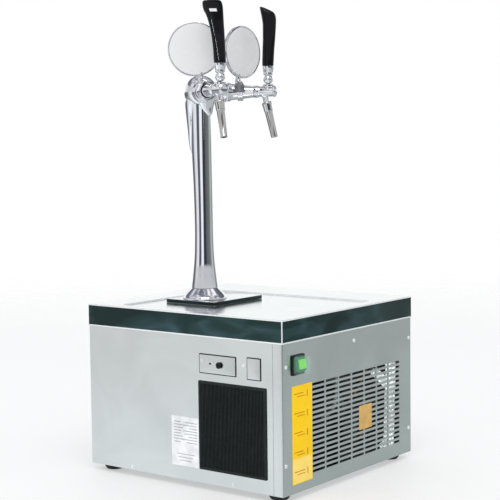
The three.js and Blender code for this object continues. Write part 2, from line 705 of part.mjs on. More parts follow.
// The valve plunger slides in the barrel; its groove takes the lever's pin.
function makePlunger(group, name) {
  const p = PLUNGER;
  const plunger = towardsFront(turned([
    [0, -p.half], [p.radius, -p.half], [p.radius, -p.groove], [p.core, -p.groove],
    [p.core, p.groove], [p.radius, p.groove], [p.radius, p.half], [0, p.half],
  ]));
  piece(`valve_plunger_${name}`, plunger, BLACK_PLASTIC, group);
}

function makeNozzle(group, name) {
  const nozzle = turned([
    [4.2, -88], [6.2, -88], [6.6, -87], [7.5, -38], [8.1, -37], [9.4, -21.5], [8.6, -20 - GAP],
    [4.2, -20 - GAP], [4.2, -88],
  ]);
  const spout = piece(`nozzle_${name}`, nozzle, CHROME, group);
  spout.position.y = SPOUT_BACK;
  spout.rotation.x = -SPOUT_TILT;
}

function makeLever(group, name) {
  const ballR = 9;
  const pivot = LEVER_PIVOT;
  const ball = new THREE.SphereGeometry(ballR, 12, 8).rotateX(Math.PI / 2).translate(0, 0, pivot);
  const ferrule = turned([
    [0, pivot], [6.5, pivot], [6.5, pivot + 7], [8.6, pivot + 8.5], [8.6, pivot + 12],
    [9, pivot + 13], [10.6, HANDLE.base - 2], [10.6, HANDLE.base - GAP], [0, HANDLE.base - GAP],
  ]);
  const pin = turned([[0, 2.4], [1.2, 2.4], [1.9, 3.2], [1.9, pivot], [0, pivot]], 8);
  piece(`lever_${name}`, geometryOf(joined(ball, ferrule, pin)), CHROME, group);
}

// Handle sections: height share, left and right edge, back and front edge, tilt of the cut.
const HANDLE_SECTIONS = [
  [0, -10.6, 10.6, -10.4, 10.4, 0],
  [0.03, -11, 11, -10.9, 10.7, 0],
  [0.25, -12.4, 10.2, -10.2, 12.2, 0],
  [0.5, -15.6, 9, -9.2, 14.6, 0],
  [0.68, -20, 8, -9.2, 16, 4],
  [0.82, -25, 7.4, -11, 16.6, 12],
  [0.9, -28.6, 6.8, -13.2, 16, 20],
  [0.95, -30, 5, -14.4, 14, 24],
  [0.975, -28.5, 2.4, -13, 11, 26],
];

function handleRings(count) {
  return HANDLE_SECTIONS.map(([share, u0, u1, v0, v1, tilt]) => {
    const points = [];
    const rounding = 0.5 + 0.5 * Math.max(0, 1 - share * 2); // 1 is round, 0.5 is squarish
    for (let j = 0; j < count; j++) {
      const a = (j / count) * 2 * Math.PI;
      const c = Math.sign(Math.cos(a)) * Math.abs(Math.cos(a)) ** rounding;
      const s = Math.sign(Math.sin(a)) * Math.abs(Math.sin(a)) ** rounding;
      const u = (u0 + u1) / 2 + (c * (u1 - u0)) / 2;
      const v = (v0 + v1) / 2 + (s * (v1 - v0)) / 2;
      points.push(new THREE.Vector3(u, v, share * HANDLE.height - v * Math.tan(tilt * DEG)));
    }
    return points;
  });
}

function makeHandle(group, side, name) {
  const handle = piece(`handle_${name}`, loft(handleRings(20)), BLACK_PLASTIC, group);
  handle.position.z = HANDLE.base;
  handle.rotation.z = HANDLE_TURN[name] - side * TAP.toe;
}

// ---------------------------------------------------------------- medallions
// A bar of the given radius between two points.
function barBetween(from, to, radius) {
  const along = to.clone().sub(from);
  const bar = rod(radius, 0, along.length(), 16);
  const turn = new THREE.Quaternion().setFromUnitVectors(
    new THREE.Vector3(0, 0, 1), along.clone().normalize(),
  );
  return bar.applyQuaternion(turn).translate(from.x, from.y, from.z);
}

// A split clamp round the shank with a leaning stem and an upright knuckle for the disc.
function makeBracket(side, name) {
  const curve = shankCurve(side);
  const at = curve.getPoint(CLAMP.place);
  const along = curve.getTangent(CLAMP.place);
  const heading = Math.atan2(along.x, -along.y);
  const inner = shankRadius(CLAMP.place) + CLAMP.clearance;
  const onShank = (geometry) => geometry.rotateZ(heading).translate(at.x, at.y, ARM_Z);
  const clamp = onShank(towardsFront(ring(inner + CLAMP.wall, inner, -CLAMP.half, CLAMP.half)));
  const shankHole = onShank(towardsFront(rod(inner, -3 * CLAMP.half, 3 * CLAMP.half)));
  const foot = new THREE.Vector3(at.x, at.y, ARM_Z + inner - 1);
  const k = new THREE.Vector3(side * KNUCKLE.x, -KNUCKLE.forward, KNUCKLE.z);
  const stem = barBetween(foot, k, STEM_RADIUS);
  const barrel = rod(KNUCKLE.radius, -5, KNUCKLE.top, 20).translate(k.x, k.y, k.z);
  const bracket = joined(clamp, stem, barrel).subtract(solid(shankHole));
  piece(`medallion_bracket_${name}`, geometryOf(bracket), CHROME, tower);

  // The screw that closes the clamp has a round knurled head on the inner side.
  const screw = turned([
    [0, 0], [2.6, 0], [2.6, 3], [9.2, 3], [10, 3.8], [10, 9.4], [8.4, 10.6], [0, 11],
  ]);
  towardsFront(screw).translate(0, -inner - CLAMP.wall - GAP + 0.6, CLAMP.screwUp);
  screw.rotateZ(heading - side * 90 * DEG).translate(at.x, at.y, ARM_Z);
  piece(`clamp_screw_${name}`, screw, DARK_METAL, tower);
}

// The disc stands on its knuckle by a lug near its lowest point and swivels on it.
function makeMedallion(side, name) {
  const m = MEDALLION;
  const group = new THREE.Group();
  group.position.set(side * KNUCKLE.x, -KNUCKLE.forward, 0);
  group.rotation.z = MEDALLION_TURN[name];
  tower.add(group);

  const back = -m.thickness / 2;
  const front = m.thickness / 2;
  const floor = 2.5;
  const cup = towardsFront(turned([
    [0, back], [m.radius - 2.5, back], [m.radius, back + 2.5], [m.radius, front - 1],
    [m.radius - 1, front], [m.radius - m.rim, front], [m.radius - m.rim, back + floor],
    [0, back + floor],
  ], 28)).translate(side * m.offset, 0, m.z);
  const lug = rod(4.4, KNUCKLE.z + KNUCKLE.top + GAP, m.z - m.radius + 6, 16);
  piece(`medallion_shell_${name}`, geometryOf(joined(cup, lug)), CHROME, group);

  const faceR = m.radius - m.rim - GAP;
  const inside = rod(4.8, KNUCKLE.z, m.z - m.radius + 7, 16);
  const face = towardsFront(turned([
    [0, back + floor + GAP], [faceR, back + floor + GAP], [faceR, front - 0.8],
    [faceR * 0.6, front + 0.9], [0, front + 1.4],
  ], 28)).translate(side * m.offset, 0, m.z);
  piece(`medallion_face_${name}`, cut(face, inside), WHITE_ENAMEL, group);
}

// ---------------------------------------------------------------- assembly
makeBasePlate();
makeFeet();
makeFrontPanel();
makeLeftPanel();
makeRightPanel();
makeRearPanel();
makeTopTray();
makeAirGrille();
makeControlPlate();
makeThermostat();
makeSwitch();
makeRearFittings();
makeTank();
makeCoils();
makeAgitator();
makeCompressor();
makeCondenser();
makeFan();
makeTowerFoot();
makeColumn();
makeHead();
for (const [side, name] of [[-1, "left"], [1, "right"]]) {
  makeShank(side, name);
  makeBeerLine(side, name);
  makeBracket(side, name);
  makeMedallion(side, name);
  const group = barrelGroup(side);
  makeTapBody(group, name);
  makePlunger(group, name);
  makeNozzle(group, name);
  makeLever(group, name);
  makeHandle(group, side, name);
}

// The origin is the bottom centre of the finished object's box.
const bounds = new THREE.Box3().setFromObject(assembly);
const middle = bounds.getCenter(new THREE.Vector3());
assembly.position.set(-middle.x, -middle.y, -bounds.min.z);

const dispenser = new THREE.Group();
dispenser.add(assembly);
export default dispenser;
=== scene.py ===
"""Looks of a countertop beer dispenser: a steel cooler cabinet with a chrome two-tap tower.

Pieces are made in millimetres about the middle of the cabinet's floor, in the CAD's directions:
+Z up, -Y the front that the taps face. build() moves them into the row frame, in metres.
"""

import math

import bmesh
import bpy
import numpy as np
from mathutils import Matrix, Vector


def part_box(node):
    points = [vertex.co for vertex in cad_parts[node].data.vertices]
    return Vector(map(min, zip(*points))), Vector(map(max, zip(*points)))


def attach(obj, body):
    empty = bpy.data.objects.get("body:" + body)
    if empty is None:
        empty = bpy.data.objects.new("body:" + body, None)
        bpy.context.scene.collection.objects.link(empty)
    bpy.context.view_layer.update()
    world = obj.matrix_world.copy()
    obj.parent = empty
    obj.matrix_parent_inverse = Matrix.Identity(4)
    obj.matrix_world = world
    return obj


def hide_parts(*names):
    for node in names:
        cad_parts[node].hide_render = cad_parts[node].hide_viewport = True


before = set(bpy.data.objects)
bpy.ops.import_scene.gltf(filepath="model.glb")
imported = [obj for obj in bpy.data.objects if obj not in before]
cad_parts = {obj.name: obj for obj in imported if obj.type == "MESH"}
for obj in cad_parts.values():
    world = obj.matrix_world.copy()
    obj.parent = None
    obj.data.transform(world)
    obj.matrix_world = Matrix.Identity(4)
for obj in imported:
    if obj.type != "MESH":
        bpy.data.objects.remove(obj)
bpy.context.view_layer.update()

# ------------------------------------------------------------------ driving dimensions, mm
MM = 0.001
floor_low, floor_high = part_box("base_plate")
SHIFT = Vector(((floor_low.x + floor_high.x) / 2, (floor_low.y + floor_high.y) / 2, 0))

# The cabinet. GAP keeps pieces that meet from sharing a face. A box is (x0, x1, y0, y1) on the deck,
# (y0, y1, z0, z1) on the left side and (x0, x1, z0, z1) on the front.
GAP = 0.3
SHEET = 1.5
HALF_X, HALF_Y = 211.3, 225.0
FOOT_H = 12.0
BODY_TOP = 275.3
TOP_Z = 316.3
DECK_Z = 313.8
OVERHANG = 2.0
CORNER_WRAP = 20.0
RECESS = (-190.0, 105.0, -200.0, 160.0)
VENT = {"columns": 7, "rows": 18, "x0": -123.0, "z0": 38.1, "pitch_x": 42.4, "pitch_z": 9.05,
        "width": 37.6, "height": 4.4}
GRILLE = (-191.5, -41.0, 37.0, 197.0)
CONTROL_PLATE = (-125.0, -45.0, 212.0, 244.0)
BLANK_PLATE = (-179.0, -151.5, 210.0, 246.0)
COVER = 1.2
KNOB = (-90.5, 228.0)
SWITCH = (-184.5, -149.0, 218.0, 253.0)
POWER_INLET = (120.0, 70.0)
REAR_INLETS, INLET_Z = (("left", -120.0), ("right", -80.0)), 60.0

# The tower. Taps, knuckles and shanks are placed out to each side and forward of its axis.
TOWER = Vector((-60, 66, 0))
TOWER_Z = 321.4
PLATE = (-102.0, 45.0, 8.0, 128.0)
ARM_Z = 711.5
HEAD_Z = ARM_Z - TOWER_Z
TAP_X, TAP_FORWARD, TAP_BACK, TAP_FRONT = 72.0, 102.0, 26.0, 10.5
TOE = math.radians(22)
SHANK_ROOT = 33.0
SPOUT_TILT = math.radians(12.7)
SPOUT_BACK = 8.0
LEVER_PIVOT = 22.5
HANDLE_BASE, HANDLE_HEIGHT = 47.3, 109.0
HANDLE_TURN = {"left": math.radians(-52), "right": math.radians(-142)}
MEDALLION_TURN = {"left": math.radians(-50), "right": math.radians(-4)}
MEDALLION_OFFSET, MEDALLION_Z, MEDALLION_R, MEDALLION_RIM = 11.8, 787.0, 49.3, 2.4
KNUCKLE, HUB_TOP = (54.0, 44.0, 732.0), 4.7
CLAMP_PLACE, CLAMP_WALL, CLAMP_HALF = 0.5, 2.6, 5
SIDES = (("left", -1), ("right", 1))
TO_FRONT = Matrix.Rotation(math.pi / 2, 4, "X")
TO_LEFT = Matrix.Rotation(-math.pi / 2, 4, "Y")
TO_REAR = Matrix.Rotation(-math.pi / 2, 4, "X")


# ------------------------------------------------------------------ material nodes
def set_input(tree, node, name, value):
    """Feeds an input from another node's output, or sets it; a colour is (red, green, blue)."""
    target = node.inputs[name]
    if isinstance(value, bpy.types.NodeSocket):
        tree.links.new(value, target)
    else:
        target.default_value = (*value, 1) if target.type == "RGBA" else value


def add_node(tree, kind, inputs, **settings):
    node = tree.nodes.new(kind)
    for name, value in settings.items():
        setattr(node, name, value)
    for name, value in inputs.items():
        set_input(tree, node, name, value)
    return node


def color_ramp(tree, source, stops):
    """Colours along a 0 to 1 value: stops are (place, colour) from low to high."""
    node = add_node(tree, "ShaderNodeValToRGB", {"Fac": source})
    elements = node.color_ramp.elements
    while len(elements) < len(stops):
        elements.new(0.5)
    for element, (position, color) in zip(elements, stops):
        element.position = position
        element.color = (*color, 1)
    return node.outputs["Color"]


class Finish:
    """A procedural material that is built up node by node, in object coordinates (metres)."""

    def __init__(self, name, color, roughness, metallic=0.0, coat=0.0):
        self.material = bpy.data.materials.new(name)
        self.material.use_nodes = True
        self.material.diffuse_color = (*color, 1)
        self.tree = self.material.node_tree
        self.color = color
        self.set("Base Color", color)
        self.set("Roughness", roughness)
        self.set("Metallic", metallic)
        self.set("Coat Weight", coat)
        self.set("Coat Roughness", 0.08)

    def set(self, name, value):
        set_input(self.tree, self.tree.nodes["Principled BSDF"], name, value)

    def add(self, kind, inputs, **settings):
        return add_node(self.tree, kind, inputs, **settings)

    def coordinates(self):
        return self.add("ShaderNodeTexCoord", {}).outputs["Object"]

    def texture(self, kind, scale, **inputs):
        """A texture node; scale is cells per metre, one number or one each for x, y and z."""
        scale = scale if isinstance(scale, tuple) else (scale,) * 3
        mapping = self.add("ShaderNodeMapping", {"Vector": self.coordinates(), "Scale": scale})
        return self.add(kind, {"Vector": mapping.outputs["Vector"], "Scale": 1, **inputs})

    def noise(self, scale, detail=4.0, distortion=0.0):
        return self.texture("ShaderNodeTexNoise", scale, Detail=detail, Distortion=distortion).outputs["Fac"]

    def cells(self, scale):
        return self.texture("ShaderNodeTexVoronoi", scale).outputs["Distance"]

    def ramp(self, source, stops):
        return color_ramp(self.tree, source, stops)

    def vary_color(self, source, spread):
        """Base colour from darker to lighter than the finish's own by the given share."""
        dark = tuple(c * (1 - spread) for c in self.color)
        light = tuple(min(1.0, c * (1 + spread)) for c in self.color)
        self.set("Base Color", self.ramp(source, [(0.35, dark), (0.65, light)]))

    def vary_roughness(self, source, low, high):
        spread = self.add("ShaderNodeMapRange", {
            "Value": source, "From Min": 0.3, "From Max": 0.7, "To Min": low, "To Max": high,
        })
        self.set("Roughness", spread.outputs["Result"])

    def bump(self, source, strength, depth):
        bump = self.add("ShaderNodeBump", {"Height": source, "Strength": strength, "Distance": depth})
        self.set("Normal", bump.outputs["Normal"])


def steel_finish(name, color, roughness, streaks, spread=0.05, brushing_strength=0.06):
    """Sheet steel with fine brushing along one direction and faint clouding."""
    finish = Finish(name, color, roughness, metallic=1.0)
    brushing = finish.noise(streaks, detail=5)
    clouds = finish.noise((7, 7, 9), detail=3, distortion=0.6)
    finish.vary_color(clouds, spread)
    finish.vary_roughness(brushing, roughness * 0.9, roughness * 1.12)
    finish.bump(brushing, brushing_strength, 0.00003)
    return finish.material


def pale_metal_and_highlight_finish():
    """Pale polished metal for screws and fittings, and a painted highlight on the tray's folds, lip and
    corner rounds; all look pale from every side.
    """
    finish = Finish("pale_metal_and_edge_highlight", (0.9, 0.92, 0.92), 0.25, metallic=0.35)
    finish.vary_color(finish.noise(40, detail=3), 0.04)
    finish.vary_roughness(finish.noise(500), 0.18, 0.32)
    return finish.material


def chrome_finish(name, color):
    finish = Finish(name, color, 0.05, metallic=1.0)
    haze = finish.noise(60, detail=6)
    finish.vary_roughness(haze, 0.03, 0.075)
    finish.vary_color(finish.noise(25, detail=2), 0.03)
    finish.bump(finish.noise(900, detail=2), 0.02, 0.00001)
    return finish.material


def plastic_finish(name, color, roughness, coat=0.0, grain=1400, depth=0.00003, spread=0.12, shine=0.5):
    """Moulded plastic, paint or print with a fine grain; shine is how much it mirrors."""
    finish = Finish(name, color, roughness, coat=coat)
    finish.set("Specular IOR Level", shine)
    finish.vary_color(finish.noise(40, detail=3), spread)
    finish.vary_roughness(finish.noise(150, detail=4), roughness * 0.8, roughness * 1.3)
    finish.bump(finish.noise(grain, detail=2), 0.15, depth)
    return finish.material


def skirt_finish():
    """Polished skirt under a dark blue-green film, with bluish patches towards the near corner."""
    finish = Finish("tray_skirt_film", (0.028, 0.06, 0.062), 0.16, metallic=0.75, coat=0.08)
    finish.set("Specular IOR Level", 0.2)
    clouds = finish.noise((9, 9, 24), detail=2, distortion=0.8)
    towards_corner = finish.add(
        "ShaderNodeVectorMath", {0: finish.coordinates(), 1: (-0.3, -0.3, 0)}, operation="DOT_PRODUCT",
    )
    total = finish.add("ShaderNodeMath", {0: clouds, 1: towards_corner.outputs["Value"]})
    patches = [
        (0.42, (0.012, 0.029, 0.028)), (0.56, (0.021, 0.047, 0.046)),
        (0.68, (0.034, 0.072, 0.078)), (0.8, (0.05, 0.096, 0.115)),
    ]
    finish.set("Base Color", finish.ramp(total.outputs["Value"], patches))
    finish.vary_roughness(finish.noise((60, 60, 220), detail=4), 0.1, 0.22)
    return finish.material


def foil_finish():
    finish = Finish("pipe_foil_painted_sheen", (0.95, 0.95, 0.94), 0.3, metallic=0.8)
    finish.vary_roughness(finish.noise(300, detail=5), 0.12, 0.35)
    facets = finish.cells((260, 260, 180))
    finish.bump(facets, 0.8, 0.0012)
    # Painted highlight: the foil glows, brightest on its facets, as a painted sheen where the cabinet's
    # inside lies in shade.
    finish.set("Emission Color", finish.ramp(facets, [(0.15, (0.95, 0.98, 1.0)), (0.6, (0.25, 0.27, 0.28))]))
    finish.set("Emission Strength", 1.1)
    return finish.material


def lens_finish(name, color, glow):
    """Tinted plastic over a lamp."""
    finish = Finish(name, color, 0.2, coat=0.15)
    finish.set("Specular IOR Level", 0.3)
    finish.vary_color(finish.noise(500, detail=2), 0.2)
    finish.set("Subsurface Weight", 0.25)
    finish.set("Subsurface Radius", (0.002, 0.003, 0.001))
    finish.set("Emission Color", color)
    finish.set("Emission Strength", glow)
    return finish.material


def enamel_finish(name, color):
    finish = Finish(name, color, 0.3, coat=0.05)
    finish.set("Specular IOR Level", 0.35)
    finish.vary_color(finish.noise(9, detail=2, distortion=1), 0.012)
    finish.vary_roughness(finish.noise(70, detail=4), 0.24, 0.28)
    finish.bump(finish.noise(500, detail=1), 0.01, 0.00001)
    return finish.material


def copper_finish():
    finish = Finish("copper_pipe", (0.5, 0.27, 0.17), 0.4, metallic=1.0)
    finish.vary_color(finish.noise(90, detail=4), 0.25)
    finish.vary_roughness(finish.noise(200), 0.2, 0.45)
    return finish.material


def clear_finish():
    finish = Finish("clear_hood", (0.5, 0.82, 0.68), 0.1, coat=1.0)
    finish.vary_roughness(finish.noise(120, detail=3), 0.06, 0.16)
    finish.set("Alpha", 0.1)
    return finish.material


def knurl_finish():
    # Painted shade: the chrome knob is coloured dark grey with a blotchy tone, standing in for its dark
    # reflections.
    finish = Finish("knurled_chrome_painted_dark", (0.3, 0.31, 0.33), 0.16, metallic=1.0)
    finish.vary_color(finish.noise(180, detail=3), 0.25)
    finish.vary_roughness(finish.noise(300, detail=3), 0.22, 0.42)
    return finish.material


PANEL = steel_finish("brushed_panel", (0.66, 0.675, 0.67), 0.24, (14, 14, 2600), brushing_strength=0.03)
DECK = steel_finish("deck_steel", (0.80, 0.82, 0.82), 0.17, (12, 1800, 1800), 0.03)
# Pale metal for screws and fittings, also used as a painted highlight on the tray's folded edges.
PALE_METAL_AND_EDGE_HIGHLIGHT = pale_metal_and_highlight_finish()
PLATE_STEEL = steel_finish("plate_steel", (0.74, 0.76, 0.76), 0.14, (1600, 14, 14), 0.04)
INNER_STEEL = steel_finish("inner_steel", (0.55, 0.56, 0.56), 0.35, (30, 30, 1500))
SKIRT = skirt_finish()
CHROME = chrome_finish("chrome_plate", (0.84, 0.845, 0.865))
SPOUT_METAL = chrome_finish("spout_metal", (0.6, 0.595, 0.575))
GLOSS_BLACK = plastic_finish("gloss_black_handle", (0.006, 0.006, 0.008), 0.12, grain=300, depth=0.00001,
                             shine=0.18)
MOULDED_BLACK = plastic_finish("moulded_black", (0.011, 0.0155, 0.0145), 0.5, shine=0.25)
RUBBER = plastic_finish("foot_rubber", (0.014, 0.014, 0.014), 0.75, grain=900, depth=0.0001)
PAINTED_BLACK = plastic_finish("painted_black_metal", (0.012, 0.016, 0.018), 0.3, coat=0.3, grain=500)
COPPER = copper_finish()
FOAM = plastic_finish("tank_foam", (0.72, 0.69, 0.6), 0.85, grain=700, depth=0.0006)
LINE_PLASTIC = plastic_finish("line_plastic", (0.7, 0.74, 0.76), 0.3)
FOIL_WITH_PAINTED_SHEEN = foil_finish()
GREEN_BODY = lens_finish("switch_green", (0.003, 0.17, 0.065), 0.03)
GREEN_LENS = lens_finish("switch_lens", (0.15, 0.56, 0.05), 0.35)
WHITE_ENAMEL = enamel_finish("white_enamel", (0.76, 0.765, 0.77))
CLEAR_HOOD = clear_finish()
KNURLED_CHROME_PAINTED_DARK = knurl_finish()
LABEL_WHITE = plastic_finish("label_white", (0.86, 0.87, 0.88), 0.4, grain=600, depth=0.00002)
LABEL_GREY = plastic_finish("label_grey_print", (0.42, 0.44, 0.46), 0.4)
LABEL_YELLOW = plastic_finish("label_yellow", (0.98, 0.62, 0.004), 0.4, spread=0.02, shine=0.15)
LABEL_PALE = plastic_finish("label_pale_yellow", (0.99, 0.72, 0.16), 0.4, spread=0.03, shine=0.15)
LABEL_ORANGE = plastic_finish("label_orange_print", (0.58, 0.22, 0.003), 0.4, shine=0.15)
LABEL_TAN = plastic_finish("label_tan", (0.65, 0.41, 0.13), 0.45, shine=0.2)


# ------------------------------------------------------------------ shapes: (points, faces) in mm
def lathe(profile, segments=96, closed=False):
    """A profile of (radius, height) points turned about Z; a closed one makes a ring with a bore."""
    points, faces, rings = [], [], []
    for radius, height in profile:
        count = 1 if radius < 1e-6 else segments
        rings.append([len(points) + i for i in range(count)])
        for i in range(count):
            a = 2 * math.pi * i / segments
            points.append((radius * math.cos(a), radius * math.sin(a), height))
    pairs = list(zip(rings, rings[1:]))
    if closed:
        pairs.append((rings[-1], rings[0]))
    for a, b in pairs:
        for i in range(segments):
            j = (i + 1) % segments
            corners = [a[i % len(a)], a[j % len(a)], b[j % len(b)], b[i % len(b)]]
            face = tuple(dict.fromkeys(corners))
            if len(face) > 2:
                faces.append(face)
    return points, faces


def loft(rings, loop=False):
    """A skin over rings of points, closed at both ends, or joined end to end as a loop."""
    count = len(rings[0])
    points = [tuple(p) for ring in rings for p in ring]
    faces = []
    pairs = len(rings) if loop else len(rings) - 1
    for i in range(pairs):
        a, b = i * count, ((i + 1) % len(rings)) * count
        for j in range(count):
            k = (j + 1) % count
            faces.append((a + j, a + k, b + k, b + j))
    if not loop:
        last = (len(rings) - 1) * count
        faces.append(tuple(reversed(range(count))))
        faces.append(tuple(range(last, last + count)))
    return points, faces


def slab(x0, x1, y0, y1, z0, z1):
    corners = (x0, y0), (x1, y0), (x1, y1), (x0, y1)
    return loft([[(x, y, z) for x, y in corners] for z in (z0, z1)])


def moved(shape, matrix):
    points, faces = shape
    turned = np.array(points) @ np.array(matrix.to_3x3()).T + np.array(matrix.to_translation())
    return [tuple(p) for p in turned], faces


def shifted(shape, x, y, z):
    return moved(shape, Matrix.Translation((x, y, z)))


def combined(*shapes):
    points, faces = [], []
    for p, f in shapes:
        faces.extend(tuple(i + len(points) for i in face) for face in f)
        points.extend(p)
    return points, faces


def rounded_loop(x0, x1, y0, y1, radius, steps=6):
    """A rectangle with round corners, anticlockwise from its right side's lower end."""
    corners = ((x1, y0, -90), (x1, y1, 0), (x0, y1, 90), (x0, y0, 180))
    loop = []
    for cx, cy, start in corners:
        inner_x = cx - math.copysign(radius, cx - (x0 + x1) / 2)
        inner_y = cy - math.copysign(radius, cy - (y0 + y1) / 2)
        for i in range(steps + 1):
            a = math.radians(start + 90 * i / steps)
            loop.append((inner_x + radius * math.cos(a), inner_y + radius * math.sin(a)))
    return loop


def box_about(x, y, half_x, half_y):
    return x - half_x, x + half_x, y - half_y, y + half_y


def rounded_ring(box, inset, radius, height):
    """The outline of a box (x0, x1, y0, y1), drawn in by an inset, with round corners."""
    x0, x1, y0, y1 = box
    loop = rounded_loop(x0 + inset, x1 - inset, y0 + inset, y1 - inset, radius)
    return [(x, y, height) for x, y in loop]


def rounded_rings(box, stations):
    """Rings from stations of (inset, corner radius, height)."""
    return [rounded_ring(box, *station) for station in stations]


def smooth_slab(x0, x1, y0, y1, z0, z1, radius, edge):
    """A flat plate with round corners and rounded edges."""
    rings = []
    for z, turn in ((z0, 0), (z1, 1)):
        for i in range(5):
            a = math.radians(90 * (i if turn else 4 - i) / 4)
            inset = edge * (1 - math.cos(a))
            height = z + (-1 if turn else 1) * edge * (1 - math.sin(a))
            rings.append(rounded_ring((x0, x1, y0, y1), inset, max(radius - inset, 0.05), height))
    return loft(rings)


def mesh_of(name, shape):
    mesh = bpy.data.meshes.new(name)
    mesh.from_pydata(shape[0], [], shape[1])
    mesh.update()
    return mesh


def shape_of(obj):
    """The shape of an object with its modifiers applied; the object is then removed."""
    evaluated = obj.evaluated_get(bpy.context.evaluated_depsgraph_get())
    mesh = evaluated.to_mesh()
    coordinates = np.zeros(len(mesh.vertices) * 3)
    mesh.vertices.foreach_get("co", coordinates)
    shape = [tuple(p) for p in coordinates.reshape(-1, 3)], [tuple(p.vertices) for p in mesh.polygons]
    evaluated.to_mesh_clear()
    bpy.data.objects.remove(obj)
    return shape


def working_object(shape):
    obj = bpy.data.objects.new("working", mesh_of("working", shape))
    bpy.context.scene.collection.objects.link(obj)
    clean_normals(obj.data)
    return obj


def clean_normals(mesh):
    edit = bmesh.new()
    edit.from_mesh(mesh)
    bmesh.ops.recalc_face_normals(edit, faces=edit.faces)
    edit.to_mesh(mesh)
    edit.free()


def carved(shape, add=(), remove=()):
    """Closed shapes added to and cut out of a closed shape."""
    for operation, tools in (("UNION", add), ("DIFFERENCE", remove)):
        for tool in tools:
            obj = working_object(shape)
            cutter = working_object(tool)
            boolean = obj.modifiers.new("boolean", "BOOLEAN")
            boolean.operation = operation
            boolean.solver = "EXACT"
            boolean.object = cutter
            shape = shape_of(obj)
            bpy.data.objects.remove(cutter)
    return shape


def cast(shape, voxel, passes):
    """Overlapping closed shapes run together into one casting with soft inner corners."""
    obj = working_object(shape)
    remesh = obj.modifiers.new("remesh", "REMESH")
    remesh.mode = "VOXEL"
    remesh.voxel_size = voxel
    smooth = obj.modifiers.new("smooth", "SMOOTH")
    smooth.factor = 0.5
    smooth.iterations = passes
    return shape_of(obj)


def build(name, shape, material, body, replaces=(), sharp=32, extra=(), face_material=None):
    """Makes a piece from a shape, in the row frame, and lets it ride on a CAD body. Edges over
    sharp degrees stay crisp; face_material(centre, normal) picks one of (material, *extra)."""
    points, faces = shape
    placed = np.array(points) * MM + np.array(SHIFT)
    mesh = mesh_of(name, ([tuple(p) for p in placed], faces))
    clean_normals(mesh)
    for m in (material, *extra):
        mesh.materials.append(m)
    if face_material:
        for polygon in mesh.polygons:
            centre = (polygon.center - SHIFT) / MM
            polygon.material_index = face_material(centre, polygon.normal)
    mesh.shade_smooth()
    mesh.set_sharp_from_angle(angle=math.radians(sharp))
    obj = bpy.data.objects.new(name, mesh)
    bpy.context.scene.collection.objects.link(obj)
    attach(obj, body)
    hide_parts(*replaces)
    return obj


def round_edges(obj, width):
    bevel = obj.modifiers.new("rounded_edges", "BEVEL")
    bevel.width = width * MM
    bevel.segments = 2
    bevel.limit_method = "ANGLE"
    bevel.angle_limit = math.radians(40)
    bevel.harden_normals = True


def eased(xs, ys, at):
    """Monotone cubic through (xs, ys), read at the given places."""
    xs, ys, at = np.array(xs, float), np.array(ys, float), np.array(at, float)
    h, d = np.diff(xs), np.diff(ys) / np.diff(xs)
    slopes = np.concatenate([[d[0]], np.zeros(len(d) - 1), [d[-1]]])
    for i in range(1, len(d)):
        if d[i - 1] * d[i] > 0:
            w1, w2 = 2 * h[i] + h[i - 1], h[i] + 2 * h[i - 1]
            slopes[i] = (w1 + w2) / (w1 / d[i - 1] + w2 / d[i])
    k = np.clip(np.searchsorted(xs, at, side="right") - 1, 0, len(h) - 1)
    t = (at - xs[k]) / h[k]
    return (
        ys[k] * (1 + 2 * t) * (1 - t) ** 2 + h[k] * slopes[k] * t * (1 - t) ** 2
        + ys[k + 1] * t * t * (3 - 2 * t) + h[k] * slopes[k + 1] * t * t * (t - 1)
    )


def eased_rows(rows, count):
    """Rows of numbers, eased between by their first number."""
    table = np.array(rows, float)
    at = np.linspace(table[0, 0], table[-1, 0], count)
    return np.column_stack([at] + [eased(table[:, 0], table[:, i], at) for i in range(1, table.shape[1])])


def oval_rings(sections, count, sides=96, grow=0.0):
    """Rings from rows of (height, x radius, y radius, y of the centre)."""
    rings = []
    for z, rx, ry, cy in eased_rows(sections, count):
        angles = np.linspace(0, 2 * math.pi, sides, endpoint=False)
        rings.append([
            ((rx + grow) * math.cos(a), cy + (ry + grow) * math.sin(a), z) for a in angles
        ])
    return rings


def swept(curve, radius_at, steps, sides=64, up=Vector((0, 0, 1))):
    """A round bar along curve(t); up is square to the whole curve."""
    rings = []
    for i in range(steps + 1):
        t = i / steps
        before, after = curve(max(t - 1e-3, 0)), curve(min(t + 1e-3, 1))
        along = (after - before).normalized()
        side = up.cross(along).normalized()
        centre, r = curve(t), radius_at(t)
        rings.append([
            centre + side * (r * math.cos(a)) + up * (r * math.sin(a))
            for a in (2 * math.pi * j / sides for j in range(sides))
        ])
    return loft(rings)


def knurled(radius, z0, z1, teeth, depth, edge=0.7):
    """A knob rim with fine upright ridges."""
    rings = []
    stations = ((edge, z0), (0, z0 + edge), (0, z1 - edge), (edge, z1))
    for inset, z in stations:
        ring = []
        for i in range(teeth * 4):
            r = radius - inset - (depth if i % 4 in (2, 3) else 0)
            a = 2 * math.pi * (i + 0.5) / (teeth * 4)
            ring.append((r * math.cos(a), r * math.sin(a), z))
        rings.append(ring)
    return loft(rings)


# ------------------------------------------------------------------ cabinet
def hole(box, start, inset=0.0):
    """A hole for sheet_panel from a box (x0, x1, z0, z1), where the plan starts at the place start."""
    x0, x1, z0, z1 = box
    return x0 + inset - start, x1 - inset - start, z0 + inset, z1 - inset


